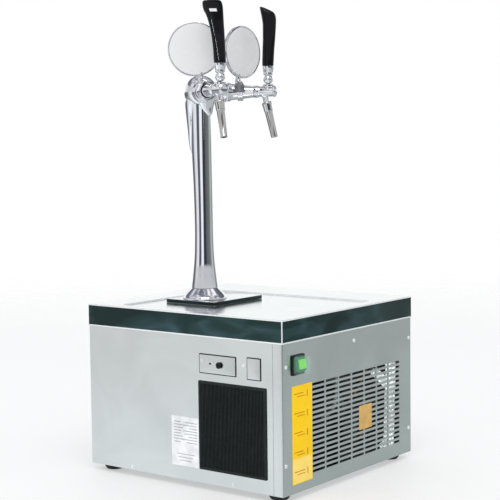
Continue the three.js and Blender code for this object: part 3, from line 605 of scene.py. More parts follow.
def sheet_panel(name, plan, levels, holes, node, outward):
    """A bent steel sheet: plan is its (x, y) line, levels its heights, and holes are
    (first place along the plan, last place, lowest, highest)."""
    lengths = np.concatenate([[0], np.cumsum([math.dist(a, b) for a, b in zip(plan, plan[1:])])])
    cuts = sorted({*lengths, *(h[0] for h in holes), *(h[1] for h in holes)})
    heights = sorted({*levels, *(h[2] for h in holes), *(h[3] for h in holes)})
    xs = np.interp(cuts, lengths, [p[0] for p in plan])
    ys = np.interp(cuts, lengths, [p[1] for p in plan])
    points = [(x, y, z) for z in heights for x, y in zip(xs, ys)]
    width = len(cuts)
    faces = []
    for j in range(len(heights) - 1):
        for i in range(width - 1):
            s, z = (cuts[i] + cuts[i + 1]) / 2, (heights[j] + heights[j + 1]) / 2
            if any(h[0] < s < h[1] and h[2] < z < h[3] for h in holes):
                continue
            a = j * width + i
            faces.append((a, a + 1, a + 1 + width, a + width))
    obj = build(name, (points, faces), PANEL, "cabinet", [node], sharp=50)
    if (obj.data.polygons[0].normal @ Vector(outward)) < 0:
        obj.data.flip_normals()
    thick = obj.modifiers.new("sheet", "SOLIDIFY")
    thick.thickness = SHEET * MM
    thick.offset = -1
    round_edges(obj, 0.25)
    return obj


def make_front_panel():
    radius, z0, z1 = 2.0, FOOT_H, BODY_TOP - GAP
    bend = [
        (-HALF_X + radius - radius * math.cos(math.radians(a)),
         -HALF_Y + radius - radius * math.sin(math.radians(a)))
        for a in range(0, 91, 15)
    ]
    plan = [(-HALF_X, -HALF_Y + CORNER_WRAP), *bend, (HALF_X, -HALF_Y)]
    wrapped = sum(math.dist(a, b) for a, b in zip(plan[:-1], plan[1:-1]))
    start = radius - HALF_X - wrapped
    holes = [hole(SWITCH, start, 3)]
    for c in range(VENT["columns"]):
        for r in range(VENT["rows"]):
            x, z = VENT["x0"] + c * VENT["pitch_x"], VENT["z0"] + r * VENT["pitch_z"]
            holes.append(hole((x, x + VENT["width"], z, z + VENT["height"]), start))
    sheet_panel("front_sheet", plan, (z0, z1), holes, "front_panel", (0, -1, 0))


def make_side_and_rear_panels():
    z0, z1 = FOOT_H, BODY_TOP - GAP
    y0 = -HALF_Y + CORNER_WRAP + GAP
    holes = [hole(GRILLE, y0, 4), hole(box_about(*KNOB, 4.5, 4.5), y0)]
    plan = [(-HALF_X, y0), (-HALF_X, HALF_Y)]
    sheet_panel("left_sheet", plan, (z0, z1), holes, "left_panel", (-1, 0, 0))
    plan = [(HALF_X, -HALF_Y + SHEET + GAP), (HALF_X, HALF_Y)]
    sheet_panel("right_sheet", plan, (z0, z1), [], "right_panel", (1, 0, 0))
    edge = HALF_X - SHEET - GAP
    holes = [hole(box_about(x, INLET_Z, 6.2, 6.2), -edge) for _, x in REAR_INLETS]
    holes.append(hole(box_about(*POWER_INLET, 14.5, 10.5), -edge))
    sheet_panel("rear_sheet", [(-edge, HALF_Y), (edge, HALF_Y)], (z0, z1), holes, "rear_panel", (0, 1, 0))


def make_top_tray():
    """Folded tray: a lip, rim and folds painted pale as a highlight, a dark polished skirt and a recessed
    deck.
    """
    x, y = HALF_X + OVERHANG, HALF_Y + OVERHANG

    def around(inset, z):
        return rounded_ring((-x, x, -y, y), inset, 2.2, z)

    def recess(grow, z):
        return rounded_ring(RECESS, -grow, 9 + grow, z)

    skirt_back, skirt_inset, lip, trim = 2.4, 0.5, 0.3, 2.6
    fold, wall, edge, cove = 2.2, 1.6, 1.2, 1.3
    support = 0.2  # a narrow ring beside each fold, so that the flat faces shade flat
    rings = [
        around(skirt_back, DECK_Z - 2.5), around(skirt_back, BODY_TOP), around(lip, BODY_TOP),
        around(0, BODY_TOP + lip), around(0, BODY_TOP + 2.2), around(skirt_inset, BODY_TOP + trim),
    ]
    for i in range(7):
        a = math.radians(15 * i)
        rings.append(around(skirt_inset + fold * (1 - math.cos(a)), TOP_Z - fold * (1 - math.sin(a))))
    rings += [around(skirt_inset + fold + support, TOP_Z), recess(wall + edge + support, TOP_Z)]
    turns = [math.radians(22.5 * i) for i in range(5)]
    rings += [recess(wall + edge * (1 - math.sin(a)), TOP_Z - edge * (1 - math.cos(a))) for a in turns]
    rings += [recess(wall - cove * (1 - math.cos(a)), DECK_Z + cove * (1 - math.sin(a))) for a in turns]
    rings.append(recess(wall - cove - support, DECK_Z))
    corner = 2.3

    # Flat side faces away from the corners take the dark film and flat tops take the deck steel; the folds,
    # lip and corner rounds take the pale finish as a painted highlight.
    def choose(centre, normal):
        on_side = abs(normal.z) < 0.2
        in_band = BODY_TOP + 2.5 < centre.z < TOP_Z - fold - 0.05
        flat = abs(centre.x) < x - corner or abs(centre.y) < y - corner
        if on_side and in_band and flat:
            return 1
        if normal.z > 0.95:
            return 2
        return 0

    build("top_tray_sheet", loft(rings), PALE_METAL_AND_EDGE_HIGHLIGHT, "cabinet", ["top_tray"],
          extra=(SKIRT, DECK), face_material=choose, sharp=50)


def make_feet():
    inset = 30
    profile = [(0, 0), (14.2, 0), (15, 0.4), (15.4, 1.2), (16.2, 2), (17.2, 3), (17.2, 4.4), (18.2, 5),
               (18.8, FOOT_H - 1.2), (18.4, FOOT_H - GAP), (0, FOOT_H - GAP)]
    for name_x, side_x in SIDES:
        for name_y, side_y in (("front", -1), ("rear", 1)):
            node = f"foot_{name_y}_{name_x}"
            at = side_x * (HALF_X - inset), side_y * (HALF_Y - inset), 0
            build(f"{node}_rubber", shifted(lathe(profile), *at), RUBBER, "cabinet", [node])


def screw_head(radius=3.6, height=2.0):
    """A pan head with a cross recess, standing along +Z."""
    sides, steps, recess = 48, 18, 1.1
    rings = []
    for i in range(steps + 1):
        r = max(radius * i / steps, 0.01)
        ring = []
        for j in range(sides):
            a = 2 * math.pi * j / sides
            x, y = r * math.cos(a), r * math.sin(a)
            z = height * math.sqrt(max(0.0, 1 - (r / radius) ** 2.6))
            near, far = sorted((abs(x), abs(y)))
            depth = np.clip((0.62 - near) / 0.2, 0, 1) * np.clip((2.1 - far) / 0.4, 0, 1)
            ring.append((x, y, z - recess * float(depth)))
        rings.append(ring)
    base = [(x, y, -0.2) for x, y, _ in rings[-1]]
    return loft([base, *reversed(rings)])


def make_screws():
    left = [(-50, 233), (-142.5, 232), (123, 18), (-116, 20)]
    front = [(-201, 235), (-203, 65), (10.6, 255), (204, 236), (203, 60)]
    rear = [(-198, 250), (198, 250), (-198, 32), (198, 32)]
    right = [(-200, 250), (200, 250), (-200, 32), (200, 32)]
    head = screw_head()
    heads = [moved(head, Matrix.Translation((-HALF_X, y, z)) @ TO_LEFT) for y, z in left]
    heads += [moved(head, Matrix.Translation((x, -HALF_Y, z)) @ TO_FRONT) for x, z in front]
    heads += [moved(head, Matrix.Translation((x, HALF_Y, z)) @ TO_REAR) for x, z in rear]
    heads += [moved(head, Matrix.Translation((HALF_X, y, z)) @ TO_LEFT.inverted()) for y, z in right]
    build("panel_screws", combined(*heads), PALE_METAL_AND_EDGE_HIGHLIGHT, "cabinet", sharp=40)


def on_left(shape, out):
    """Stands a plate made in (y, z) with its thickness along +Z on the left face."""
    points, faces = shape
    return [(-HALF_X - out - h, y, z) for y, z, h in points], faces


def on_front(shape, out):
    points, faces = shape
    return [(x, -HALF_Y - out - h, z) for x, z, h in points], faces


def on_rear(shape, out):
    points, faces = shape
    return [(x, HALF_Y + out + h, z) for x, z, h in points], faces


def make_control_plates():
    cover = smooth_slab(*CONTROL_PLATE, 0, COVER, 1.2, 0.3)
    build("control_cover", on_left(cover, GAP), PANEL, "cabinet", ["control_plate"])
    blank = smooth_slab(*BLANK_PLATE, 0, COVER, 1.2, 0.3)
    build("blank_cover", on_left(blank, GAP), PANEL, "cabinet")
    seams = []
    for plate in (CONTROL_PLATE, BLANK_PLATE):
        rings = rounded_rings(plate, ((-1.8, 1.6, 0), (-1.8, 1.6, 0.3), (1, 0.5, 0.3), (1, 0.5, 0)))
        seams.append(on_left(loft(rings, loop=True), 0))
    build("cover_gaskets", combined(*seams), MOULDED_BLACK, "cabinet")
    lamp = lathe([(0, 0), (1.9, 0), (1.9, 0.5), (1.5, 0.9), (1.1, 0.9), (1.0, 1.3), (0.6, 1.6), (0, 1.7)],
                 40)
    at = Matrix.Translation((-HALF_X - GAP - COVER, -69, 229)) @ TO_LEFT
    build("indicator_lamp", moved(lamp, at), MOULDED_BLACK, "cabinet")


def make_thermostat_knob():
    rim = knurled(5.8, 2, 4.6, 22, 0.3)
    face = lathe([(0, 4.4), (5, 4.4), (4.8, 4.8), (4.3, 5), (0, 5)], 64)
    shaft = lathe([(0, -26), (3, -26), (3, 2.4), (0, 2.4)], 48)
    slot = slab(-0.8, 0.8, -6.5, 6.5, 3.6, 6)
    knob = carved(rim, add=[face, shaft], remove=[slot])
    at = Matrix.Translation((-HALF_X - GAP - COVER, *KNOB)) @ TO_LEFT
    build("thermostat_grip", moved(knob, at), MOULDED_BLACK, "thermostat", ["thermostat_knob"])


def make_grille():
    y0, y1, z0, z1 = GRILLE
    border, fins = 5, 46
    stations = ((0, 2, 0), (0, 2, 1.0), (0.5, 1.6, 1.4), (border, 1, 1.4), (border, 1, 0))
    shapes = [loft(rounded_rings(GRILLE, stations), loop=True)]
    for i in range(fins):
        y = y0 + border + (i + 0.5) * (y1 - y0 - 2 * border) / fins
        shapes.append(slab(y - 0.75, y + 0.75, z0 + 4, z1 - 4, -0.6, 1.0))
    for z in (z0 + 55, z1 - 55):
        shapes.append(slab(y0 + 4, y1 - 4, z - 0.8, z + 0.8, -0.9, -0.2))
    build("air_grille_fins", on_left(combined(*shapes), GAP), MOULDED_BLACK, "cabinet", ["air_grille"],
          sharp=30)


def make_switch():
    x0, x1, z0, z1 = SWITCH
    stations = (
        (0, 1.6, GAP), (0, 1.6, GAP + 2.4), (0.6, 1.4, GAP + 3), (3.4, 1, GAP + 3), (4, 0.8, GAP + 2.2),
        (4, 0.8, -20), (3.5, 0.8, -20), (3.5, 0.8, GAP),
    )
    bezel = loft(rounded_rings(SWITCH, stations), loop=True)
    build("switch_bezel", on_front(bezel, 0), MOULDED_BLACK, "cabinet", ["switch_frame"])
    mid_x, mid_z, half = (x0 + x1) / 2, (z0 + z1) / 2, (z1 - z0) / 2 - 4.6
    wide = (x1 - x0) / 2 - 4.8

    def skin(stations, half_x, half_z, radius):
        """A rounded block from stations of (inset, height)."""
        rings = [(inset, radius - inset / 2, height) for inset, height in stations]
        return loft(rounded_rings(box_about(0, 0, half_x, half_z), rings))

    body = skin([(2.2, -8), (0.6, -2), (0, 1), (0, 6), (0.7, 8.6), (1.6, 9.7), (2.8, 10), (4.5, 9.6)],
                wide, half, 3.4)
    lens = skin([(0, 7.5), (0, 11.4), (0.4, 12.3), (1.4, 12.8), (3.4, 12.9)], 9.6, 8.4, 2.8)
    pivot = Matrix.Translation((mid_x, -HALF_Y + 3, mid_z)) @ Matrix.Rotation(math.radians(-8), 4, "X")
    facing = pivot @ Matrix.Translation((0, -3, 0)) @ TO_FRONT
    build("rocker_body", moved(body, facing), GREEN_BODY, "rocker", ["switch_rocker"])
    build("rocker_lens", moved(lens, facing), GREEN_LENS, "rocker")
    inside = [(5, 17.7), (2.6, 17.3), (1.5, 16.3), (1.2, 14.5), (1.2, 3.7)]
    outside = [(0, 3.7), (0, 15.5), (0.4, 17.4), (1.4, 18.5), (3.2, 18.9)]
    hood = skin(inside + outside, (x1 - x0) / 2 - 1.2, (z1 - z0) / 2 - 1.2, 7)
    at = Matrix.Translation((mid_x, -HALF_Y, mid_z)) @ TO_FRONT
    build("switch_hood", moved(hood, at), CLEAR_HOOD, "cabinet", ["switch_cover"])


def printed_bar(start, end, z, height, radius=0.5):
    """One bar of print, from start to end along its label and upwards from z."""
    return smooth_slab(start, end, z, z + height, 0, 0.05, radius, 0.02)


def make_labels():
    """Stickers with plain bars where such stickers carry writing."""
    white = smooth_slab(-40.5, 24, 37, 127, 0, 0.16, 1.5, 0.05)
    build("data_label", on_left(white, 0.02), LABEL_WHITE, "cabinet")
    bars = []
    for i in range(8):
        z = 116 - 5.2 * i
        bars.append(printed_bar(-36, -8 + 9 * math.sin(2.3 * i), z, 1.6))
        bars.append(printed_bar(3 * math.cos(1.7 * i), 18, z, 1.6))
    for i in range(3):
        bars.append(printed_bar(-30 + 4 * i, 12 - 3 * i, 58 - 6 * i, 1.4))
    build("data_label_bars", on_left(combined(*bars), 0.2), LABEL_GREY, "cabinet")

    yellow = smooth_slab(-184, -124, 27.6, 199, 0, 0.18, 2, 0.05)
    build("side_label", on_front(yellow, 0.02), LABEL_YELLOW, "cabinet")
    lower = smooth_slab(-182.5, -125.5, 29, 72, 0, 0.05, 1.5, 0.02)
    build("side_label_field", on_front(lower, 0.22), LABEL_PALE, "cabinet")
    marks = []
    for i in range(5):
        z = 184 - 34 * i
        marks.append(printed_bar(-178, -150 + 3 * math.sin(2 * i), z, 1.6, 0.6))
        marks.append(printed_bar(-170, -146, z - 5, 1.4, 0.6))
        marks.append(printed_bar(-140, -137.5, z - 8, 12, 0.8))
    build("side_label_marks", on_front(combined(*marks), 0.3), LABEL_ORANGE, "cabinet")
    tan = smooth_slab(26.5, 70, 86, 131, 0, 0.2, 1.5, 0.06)
    build("small_label", on_front(tan, 0.02), LABEL_TAN, "cabinet")


def make_rear_fittings():
    barb = [(2.6, -14), (5.8, -14), (5.8, GAP), (8.6, GAP), (9, GAP + 0.4), (9, 3.6), (8.6, 4), (4.4, 4),
            (5.2, 6), (4.4, 8.5), (5.2, 9), (4.3, 11.6), (4, 12), (2.6, 12)]
    for name, x in REAR_INLETS:
        at = Matrix.Translation((x, HALF_Y, INLET_Z)) @ TO_REAR
        build(f"hose_barb_{name}", moved(lathe(barb, 64, closed=True), at), PALE_METAL_AND_EDGE_HIGHLIGHT, "cabinet",
              [f"beer_inlet_{name}"])
    px, pz = POWER_INLET
    # Half width, half height, corner radius and height of each ring of the socket.
    stations = (
        (24, 14, 3, 0.3), (24, 14, 3, 2.4), (23.4, 13.4, 3, 3), (13, 9, 2.5, 3), (12, 8, 2, 2.4),
        (12, 8, 2, -16), (14, 10, 2, -22), (14, 10, 2, 0.3),
    )
    rings = [rounded_ring(box_about(px, pz, w, t), 0, r, h) for w, t, r, h in stations]
    floor = smooth_slab(*box_about(px, pz, 13, 9), 0, 2, 1, 0.3)
    socket = combined(on_rear(loft(rings, loop=True), 0), on_rear(floor, -18))
    build("mains_socket", socket, MOULDED_BLACK, "cabinet", ["power_inlet"])
    pins = []
    for x, z in ((px - 5, pz - 2), (px + 5, pz - 2), (px, pz + 3)):
        pins.append(smooth_slab(*box_about(x, z, 0.8, 2), 0, 13, 0.6, 0.4))
    build("mains_pins", on_rear(combined(*pins), -17), PALE_METAL_AND_EDGE_HIGHLIGHT, "cabinet")


# ------------------------------------------------------------------ seen through the vents
def make_compressor():
    x, y, z = 40, -118, FOOT_H + 2.8
    shell = [
        (0, 12), (54, 12), (58, 15), (60, 22), (60, 69), (60.6, 70), (62.4, 71.5), (62.6, 75), (62.4, 78.5),
        (60.6, 80), (60, 82), (59, 105), (55, 122), (46, 136), (34, 144), (20, 148), (8, 149.6), (0, 150),
    ]
    box_shape = smooth_slab(-24, 24, 42, 92, 0, 22, 4, 2)
    terminal = [(a, -56 - h, b) for a, b, h in box_shape[0]], box_shape[1]
    feet = [shifted(smooth_slab(-10, 10, -8, 8, 0, 12, 3, 1), 44 * math.cos(a), 44 * math.sin(a), 0)
            for a in (0.8, 2.4, 3.9, 5.5)]
    shape = shifted(combined(lathe(shell), terminal, *feet), x, y, z)
    build("compressor_shell", shape, PAINTED_BLACK, "cabinet", ["compressor"])


def pipe(points, radius, sides=20, samples=12):
    """A round pipe through points, with its rings turned from one to the next."""
    route = []
    points = [Vector(p) for p in points]
    padded = [2 * points[0] - points[1], *points, 2 * points[-1] - points[-2]]
    for a, b, c, d in zip(padded, padded[1:], padded[2:], padded[3:]):
        for i in range(samples):
            t = i / samples
            route.append(0.5 * (2 * b + (c - a) * t + (2 * a - 5 * b + 4 * c - d) * t * t
                                + (3 * b - 3 * c + d - a) * t ** 3))
    route.append(points[-1])
    side = (route[1] - route[0]).orthogonal().normalized()
    rings = []
    for i, centre in enumerate(route):
        along = (route[min(i + 1, len(route) - 1)] - route[max(i - 1, 0)]).normalized()
        side = (side - along * side.dot(along)).normalized()
        other = along.cross(side)
        rings.append([centre + (side * math.cos(a) + other * math.sin(a)) * radius
                      for a in (2 * math.pi * j / sides for j in range(sides))])
    return loft(rings)


def crumpled(shape):
    """The shape with the uneven ripples of foil wound on by hand."""
    cloud = np.array(shape[0])
    x, y, z = cloud.T
    ripple = np.sin(z * 0.9 + 3 * np.sin(x * 0.7)) + np.sin(y * 1.3 + z * 0.37) + np.sin(x * 1.9 - z * 0.61)
    cloud[:, 0] += 0.55 * ripple
    cloud[:, 1] -= 0.45 * ripple
    return [tuple(p) for p in cloud], shape[1]


def make_pipes():
    x, y = 170, -200
    straight = [(x + 0.4 * i, y, 34 + 8 * i) for i in range(20)]
    route = [(x, y + 14, 22), *straight, (x + 6, y + 4, 198), (x - 2, y + 12, 206)]
    stem = pipe(route, 9, sides=40, samples=10)
    branch = pipe([(x - 2, y, 146), (x - 18, y - 1, 156), (x - 32, y + 2, 170), (x - 40, y + 12, 176)], 7.5,
                  sides=32, samples=24)
    build("foil_wrapped_pipe", crumpled(combined(stem, branch)), FOIL_WITH_PAINTED_SHEEN, "cabinet", sharp=25)
    copper = [
        pipe([(60, -168, 120), (84, -176, 140), (112, -180, 176), (134, -176, 192), (150, -165, 198)], 3.2),
        pipe([(96, -150, 30), (104, -170, 50), (124, -176, 64), (130, -174, 90)], 3.2),
    ]
    build("copper_pipework", combined(*copper), COPPER, "cabinet")
    capillary = pipe([
        (-14, -172, 110), (-18, -196, 130), (-20, -206, 160), (-20, -205, 190), (-8, -180, 204),
    ], 3.4)
    build("capillary_sleeve", capillary, LINE_PLASTIC, "cabinet")


def make_condenser():
    x0, x1, y0, y1, z0, z1 = -204, -176, GRILLE[0] + 2, GRILLE[1] - 2, 30, 200
    fins = 52
    plates = []
    for i in range(fins):
        y = y0 + 3 + (i + 0.5) * (y1 - y0 - 6) / fins
        plates.append(slab(x0, x1, y - 0.2, y + 0.2, z0 + 1, z1 - 1))
    ends = [slab(x0, x1, y, y + 1.5, z0, z1) for y in (y0, y1 - 1.5)]
    tubes = []
    for i in range(7):
        z = z0 + 14 + 24 * i
        tubes.append(pipe([(x0 + 9, y0 - 1, z), (x0 + 9, (y0 + y1) / 2, z), (x0 + 9, y1 + 1, z)], 4, 16, 2))
    build("condenser_core", combined(*plates, *ends, *tubes), PAINTED_BLACK, "cabinet", ["condenser"],
          sharp=30)


# ------------------------------------------------------------------ tower
COLUMN_SECTIONS = [
    (21, 24.4, 24.4, 0), (30, 23.3, 23.3, 0), (46, 21.5, 21.5, 0), (70, 19.1, 19.1, 0), (95, 17.7, 17.7, 0),
    (130, 17, 17, 0), (205, 16.8, 17.6, 1), (285, 17, 19.2, 3), (372, 17, 20, 4),
]


def in_tower(shape, z=0.0):
    return shifted(shape, TOWER.x, TOWER.y, z)


def make_tower_foot():
    plate = smooth_slab(*PLATE, DECK_Z + GAP, DECK_Z + GAP + 7, 3, 0.7)
    # Painted shade: the plate's sides take the dark skirt film finish, so they read darker than its pale
    # top.
    build("tower_plate_slab", plate, PLATE_STEEL, "cabinet", ["tower_plate"], extra=(SKIRT,),
          face_material=lambda centre, normal: 1 if abs(normal.z) < 0.3 else 0)
    dome = eased_rows([
        (3, 42), (6, 40), (10, 36.4), (14, 32.2), (17.5, 28.6), (19.6, 26.5), (20.6, 25.4),
    ], 28)
    profile = [(11.5, -32), (14, -32), (14, 0), (41.4, 0), (42, 0.6)]
    profile += [(r, z) for z, r in dome] + [(11.5, 20.6)]
    build("flange_dome", in_tower(lathe(profile, 128, closed=True), TOWER_Z), CHROME, "cabinet",
          ["tower_flange"], sharp=40)


def make_column():
    outer = oval_rings(COLUMN_SECTIONS, 140)
    inner = oval_rings(COLUMN_SECTIONS, 12, grow=-3)
    tube = loft([*outer, *reversed(inner)], loop=True)
    build("column_tube", in_tower(tube, TOWER_Z), CHROME, "cabinet", ["tower_column"], sharp=50)


def ellipsoid(rx, ry, rz, cx, cy, cz, rows=48, sides=96):
    """Half sizes, then the centre."""
    profile = [(math.sin(math.pi * i / rows), -math.cos(math.pi * i / rows)) for i in range(rows + 1)]
    profile[0], profile[-1] = (0, -1), (0, 1)
    points, faces = lathe(profile, sides)
    return [(cx + rx * x, cy + ry * y, cz + rz * z) for x, y, z in points], faces


def make_head():
    """One casting: a bulb, its tail and chin down the column, and a socket for each shank."""
    bulb = ellipsoid(25, 35, 31, 0, 3, HEAD_Z + 1)
    tail = loft(oval_rings([
        (276, 2, 1.6, 25), (282, 5, 4, 24.6), (292, 8, 6, 24), (320, 13, 12, 20), (350, 16.5, 17, 18),
        (375, 20, 21, 15), (400, 21, 22, 10),
    ], 60))
    chin = loft(oval_rings([
        (346, 3, 2.5, -18), (349, 6, 5, -16.6), (352, 8.4, 7, -15), (362, 14, 12, -11), (376, 19, 18, -8),
        (392, 22, 22, -4),
    ], 40))
    socket = lathe([
        (0, 0), (21, 0), (19.4, 26), (18, 38), (17.6, 41), (18.8, 42.2), (18.8, 45.6), (18, 46.2), (0, 46.2),
    ])
    parts = [bulb, tail, chin]
    for _, side in SIDES:
        turn = Matrix.Rotation(side * math.radians(45), 4, "Z") @ TO_FRONT
        parts.append(shifted(moved(socket, turn), 0, 0, HEAD_Z))
    head = cast(combined(*parts), 0.8, 10)
    build("head_casting", in_tower(head, TOWER_Z), CHROME, "cabinet", ["tower_head"], sharp=180)


def shank_curve(side):
    behind = TAP_BACK + GAP
    tip = (TAP_X - behind * math.sin(TOE), TAP_FORWARD - behind * math.cos(TOE))
    to_bend = (tip[1] - tip[0]) / (math.cos(TOE) - math.sin(TOE))
    bend = (tip[0] - to_bend * math.sin(TOE), tip[1] - to_bend * math.cos(TOE))
    root = SHANK_ROOT + GAP
    a, b, c = (Vector((TOWER.x + side * u, TOWER.y - v, ARM_Z)) for u, v in ((root, root), bend, tip))
    return lambda t: a * (1 - t) ** 2 + b * 2 * t * (1 - t) + c * t * t


def shank_taper(t):
    return 16.5 - 6 * t


def shank_radius(t):
    """Stepped collars at the root, then a smooth taper to the tap."""
    taper = shank_taper(t)
    for start, end, extra in ((0, 0.035, 1.2), (0.05, 0.1, 1.8), (0.115, 0.15, 0.7), (0.965, 1.01, 0.5)):
        if start <= t <= end:
            return taper + extra
    return taper


def make_shanks():
    for name, side in SIDES:
        bar = swept(shank_curve(side), shank_radius, 200)
        build(f"shank_horn_{name}", bar, CHROME, "cabinet", [f"shank_{name}"], sharp=28)


def barrel_place(side):
    at = (TOWER.x + side * TAP_X, TOWER.y - TAP_FORWARD, ARM_Z)
    return Matrix.Translation(at) @ Matrix.Rotation(side * TOE, 4, "Z")


def make_taps():
    tilt = Matrix.Translation((0, SPOUT_BACK, 0)) @ Matrix.Rotation(-SPOUT_TILT, 4, "X")
    # Radius and distance from the barrel's back end, over its two collars.
    collars = [
        (0, 0), (11, 0), (11.4, 0.5), (11.4, 2.6), (10.8, 3), (10.8, 3.6), (11.4, 4), (11.4, 5.6), (10.6, 7),
        (9.7, 8.4), (9.6, 12),
    ]
    profile = [(r, h - TAP_BACK) for r, h in collars] + [(9.6, 6), (9.6, TAP_FRONT), (0, TAP_FRONT)]
    barrel = moved(lathe(profile), TO_FRONT)
    bonnet = lathe([
        (0, 0), (9.4, 0), (9.4, 8), (9.7, 8.8), (10.5, 9.3), (10.9, 9.8), (10.9, 12), (10.5, 12.6),
        (9.6, 13.1), (9, 13.2), (0, 13.2),
    ])
    neck = lathe([(0, -20), (5.6, -20), (5.6, -11), (7.4, -8.5), (8.4, -4), (8.4, 0), (0, 0)], 64)
    bore = moved(lathe([(0, -17.5), (5.5, -17.5), (5.5, TAP_FRONT + 1), (0, TAP_FRONT + 1)], 48), TO_FRONT)
    outlet = moved(lathe([(0, -30), (3.2, -30), (3.2, 0), (0, 0)], 32), tilt)
    slots = [slab(-3, 3, -5.6, 11.3, 0, 10), slab(-3, 3, -4.6, 8.3, 9, 15)]
    body = carved(barrel, add=[bonnet, moved(neck, tilt)], remove=[bore, outlet, *slots])
    cap = moved(lathe([
        (0, 0), (10.2, 0), (10.6, 0.4), (10.6, 2.0), (10.2, 2.5), (9.2, 2.9), (8.9, 3.4), (8.2, 4.2),
        (6.6, 4.8), (6.3, 4.4), (5.6, 4.3), (5.3, 4.9), (3, 5.3), (0, 5.4),
    ]), TO_FRONT)
    nozzle = moved(lathe([
        (4.2, -88), (5.9, -88), (6.3, -87.7), (6.6, -87), (6.6, -86), (6.4, -85.4), (7.5, -40), (7.6, -38.6),
        (8.1, -37.8), (8.3, -36.8), (8.9, -27), (9.4, -25), (9.4, -22.2), (9, -21.2), (8.4, -20.3),
        (4.2, -20.3),
    ], closed=True), tilt)
    for name, side in SIDES:
        place = barrel_place(side)
        build(f"tap_barrel_{name}", moved(body, place), CHROME, "cabinet", [f"tap_body_{name}"])
        front = place @ Matrix.Translation((0, -TAP_FRONT - GAP, 0))
        build(f"tap_end_cap_{name}", moved(cap, front), CHROME, "cabinet", [f"tap_cap_{name}"])
        build(f"spout_{name}", moved(nozzle, place), SPOUT_METAL, "cabinet", [f"nozzle_{name}"],
              sharp=24)


def make_levers():
    ball_r = 9
    ball = [(0, LEVER_PIVOT - ball_r)]
    for degrees in range(6, 142, 4):
        a = math.radians(degrees)
        ball.append((ball_r * math.sin(a), LEVER_PIVOT - ball_r * math.cos(a)))
    # Radius and height over the pivot, up to the handle.
    neck = [
        (6.2, 7.4), (7.6, 8.2), (8.6, 8.8), (8.8, 9.6), (8.8, 11.2), (8.4, 11.8), (8.4, 12.4), (8.9, 12.9),
        (9.3, 14.6),
    ]
    # Radius and depth under the handle's base.
    seat = [(10.4, 4), (10.6, 2.4), (10.6, 0.8), (10.2, GAP), (0, GAP)]
    ferrule = [(r, LEVER_PIVOT + h) for r, h in neck] + [(r, HANDLE_BASE - h) for r, h in seat]
    pin = lathe([(0, 2.4), (1.2, 2.4), (1.9, 3.2), (1.9, LEVER_PIVOT), (0, LEVER_PIVOT)], 32)
    lever = carved(lathe(ball + ferrule), add=[pin])
    for name, side in SIDES:
        build(f"lever_ferrule_{name}", moved(lever, barrel_place(side)), CHROME, f"lever_{name}",
              [f"lever_{name}"], sharp=26)


# Handle sections: height share, left, right, back and front edges, tilt of the cut in degrees.
HANDLE_SECTIONS = [
    (0, -10.6, 10.6, -10.4, 10.4, 0), (0.03, -11, 11, -10.9, 10.7, 0), (0.25, -12.4, 10.2, -10.2, 12.2, 0),
    (0.5, -15.6, 9, -9.2, 14.6, 0), (0.68, -20, 8, -9.2, 16, 4), (0.82, -25, 7.4, -11, 16.6, 12),
    (0.9, -28.6, 6.8, -13.2, 16, 20), (0.95, -30, 5, -14.4, 14, 24), (0.975, -28.5, 2.4, -13, 11, 26),
]


def handle_rounding(share):
    """The power that shapes a section: 1 makes an oval, and 0.5, from half the height up, a soft box."""
    return 0.5 + 0.5 * max(0.0, 1 - share * 2)


def on_section(row, c, s, inset=0.0, rise=0.0):
    """A point on a section; c and s say from -1 to 1 how far across it and how far forward."""
    share, u0, u1, v0, v1, tilt = row
    u = (u0 + u1) / 2 + c * ((u1 - u0) / 2 - inset)
    v = (v0 + v1) / 2 + s * ((v1 - v0) / 2 - inset)
    return u, v, share * HANDLE_HEIGHT - v * math.tan(math.radians(tilt)) + rise


def handle_ring(row, inset=0.0, rise=0.0, sides=96):
    rounding = handle_rounding(row[0])
    ring = []
    for j in range(sides):
        a = 2 * math.pi * j / sides
        c = math.copysign(abs(math.cos(a)) ** rounding, math.cos(a))
        s = math.copysign(abs(math.sin(a)) ** rounding, math.sin(a))
        ring.append(on_section(row, c, s, inset, rise))
    return ring


def handle_grip():
    rows = eased_rows(HANDLE_SECTIONS, 90)
    foot = [handle_ring(rows[0], inset=1.2), handle_ring(rows[0], inset=0.4, rise=0.2)]
    body = [handle_ring(row) for row in rows[1:-2]]
    crown = []
    for inset, rise in ((0.5, 0.5), (1.3, 1.0), (2.6, 1.5), (4.4, 1.9), (6.4, 2.1)):
        crown.append(handle_ring(rows[-3], inset, rise))
    return loft([*foot, *body, *crown])


def handle_badge():
    """A thin slanted plate that lies on the back of the handle, below its crown."""
    rows = [row for row in eased_rows(HANDLE_SECTIONS, 400) if 0.808 < row[0] < 0.856][::4]
    across = np.linspace(-0.5, 0.28, 22)
    skin = []
    for row in rows:
        rounding = handle_rounding(row[0])
        for place in across - (row[0] - 0.83):
            cosine = abs(place) ** (1 / rounding)
            skin.append(on_section(row, place, -math.sqrt(max(0.0, 1 - cosine * cosine)) ** rounding))
    points = [(u, v - 0.12, z) for u, v, z in skin] + [(u, v + 0.4, z) for u, v, z in skin]
    under, width, last = len(skin), len(across), len(skin) - len(across)
    faces = []
    for start in range(0, last, width):
        for a in range(start, start + width - 1):
            face = (a, a + 1, a + 1 + width, a + width)
            faces.append(face)
            faces.append(tuple(under + k for k in reversed(face)))
    rim = [*range(width), *range(2 * width - 1, under, width)]
    rim += [*range(under - 2, last - 1, -1), *range(last - width, 0, -width)]
    for a, b in zip(rim, rim[1:] + rim[:1]):
        faces.append((b, a, a + under, b + under))
    return points, faces


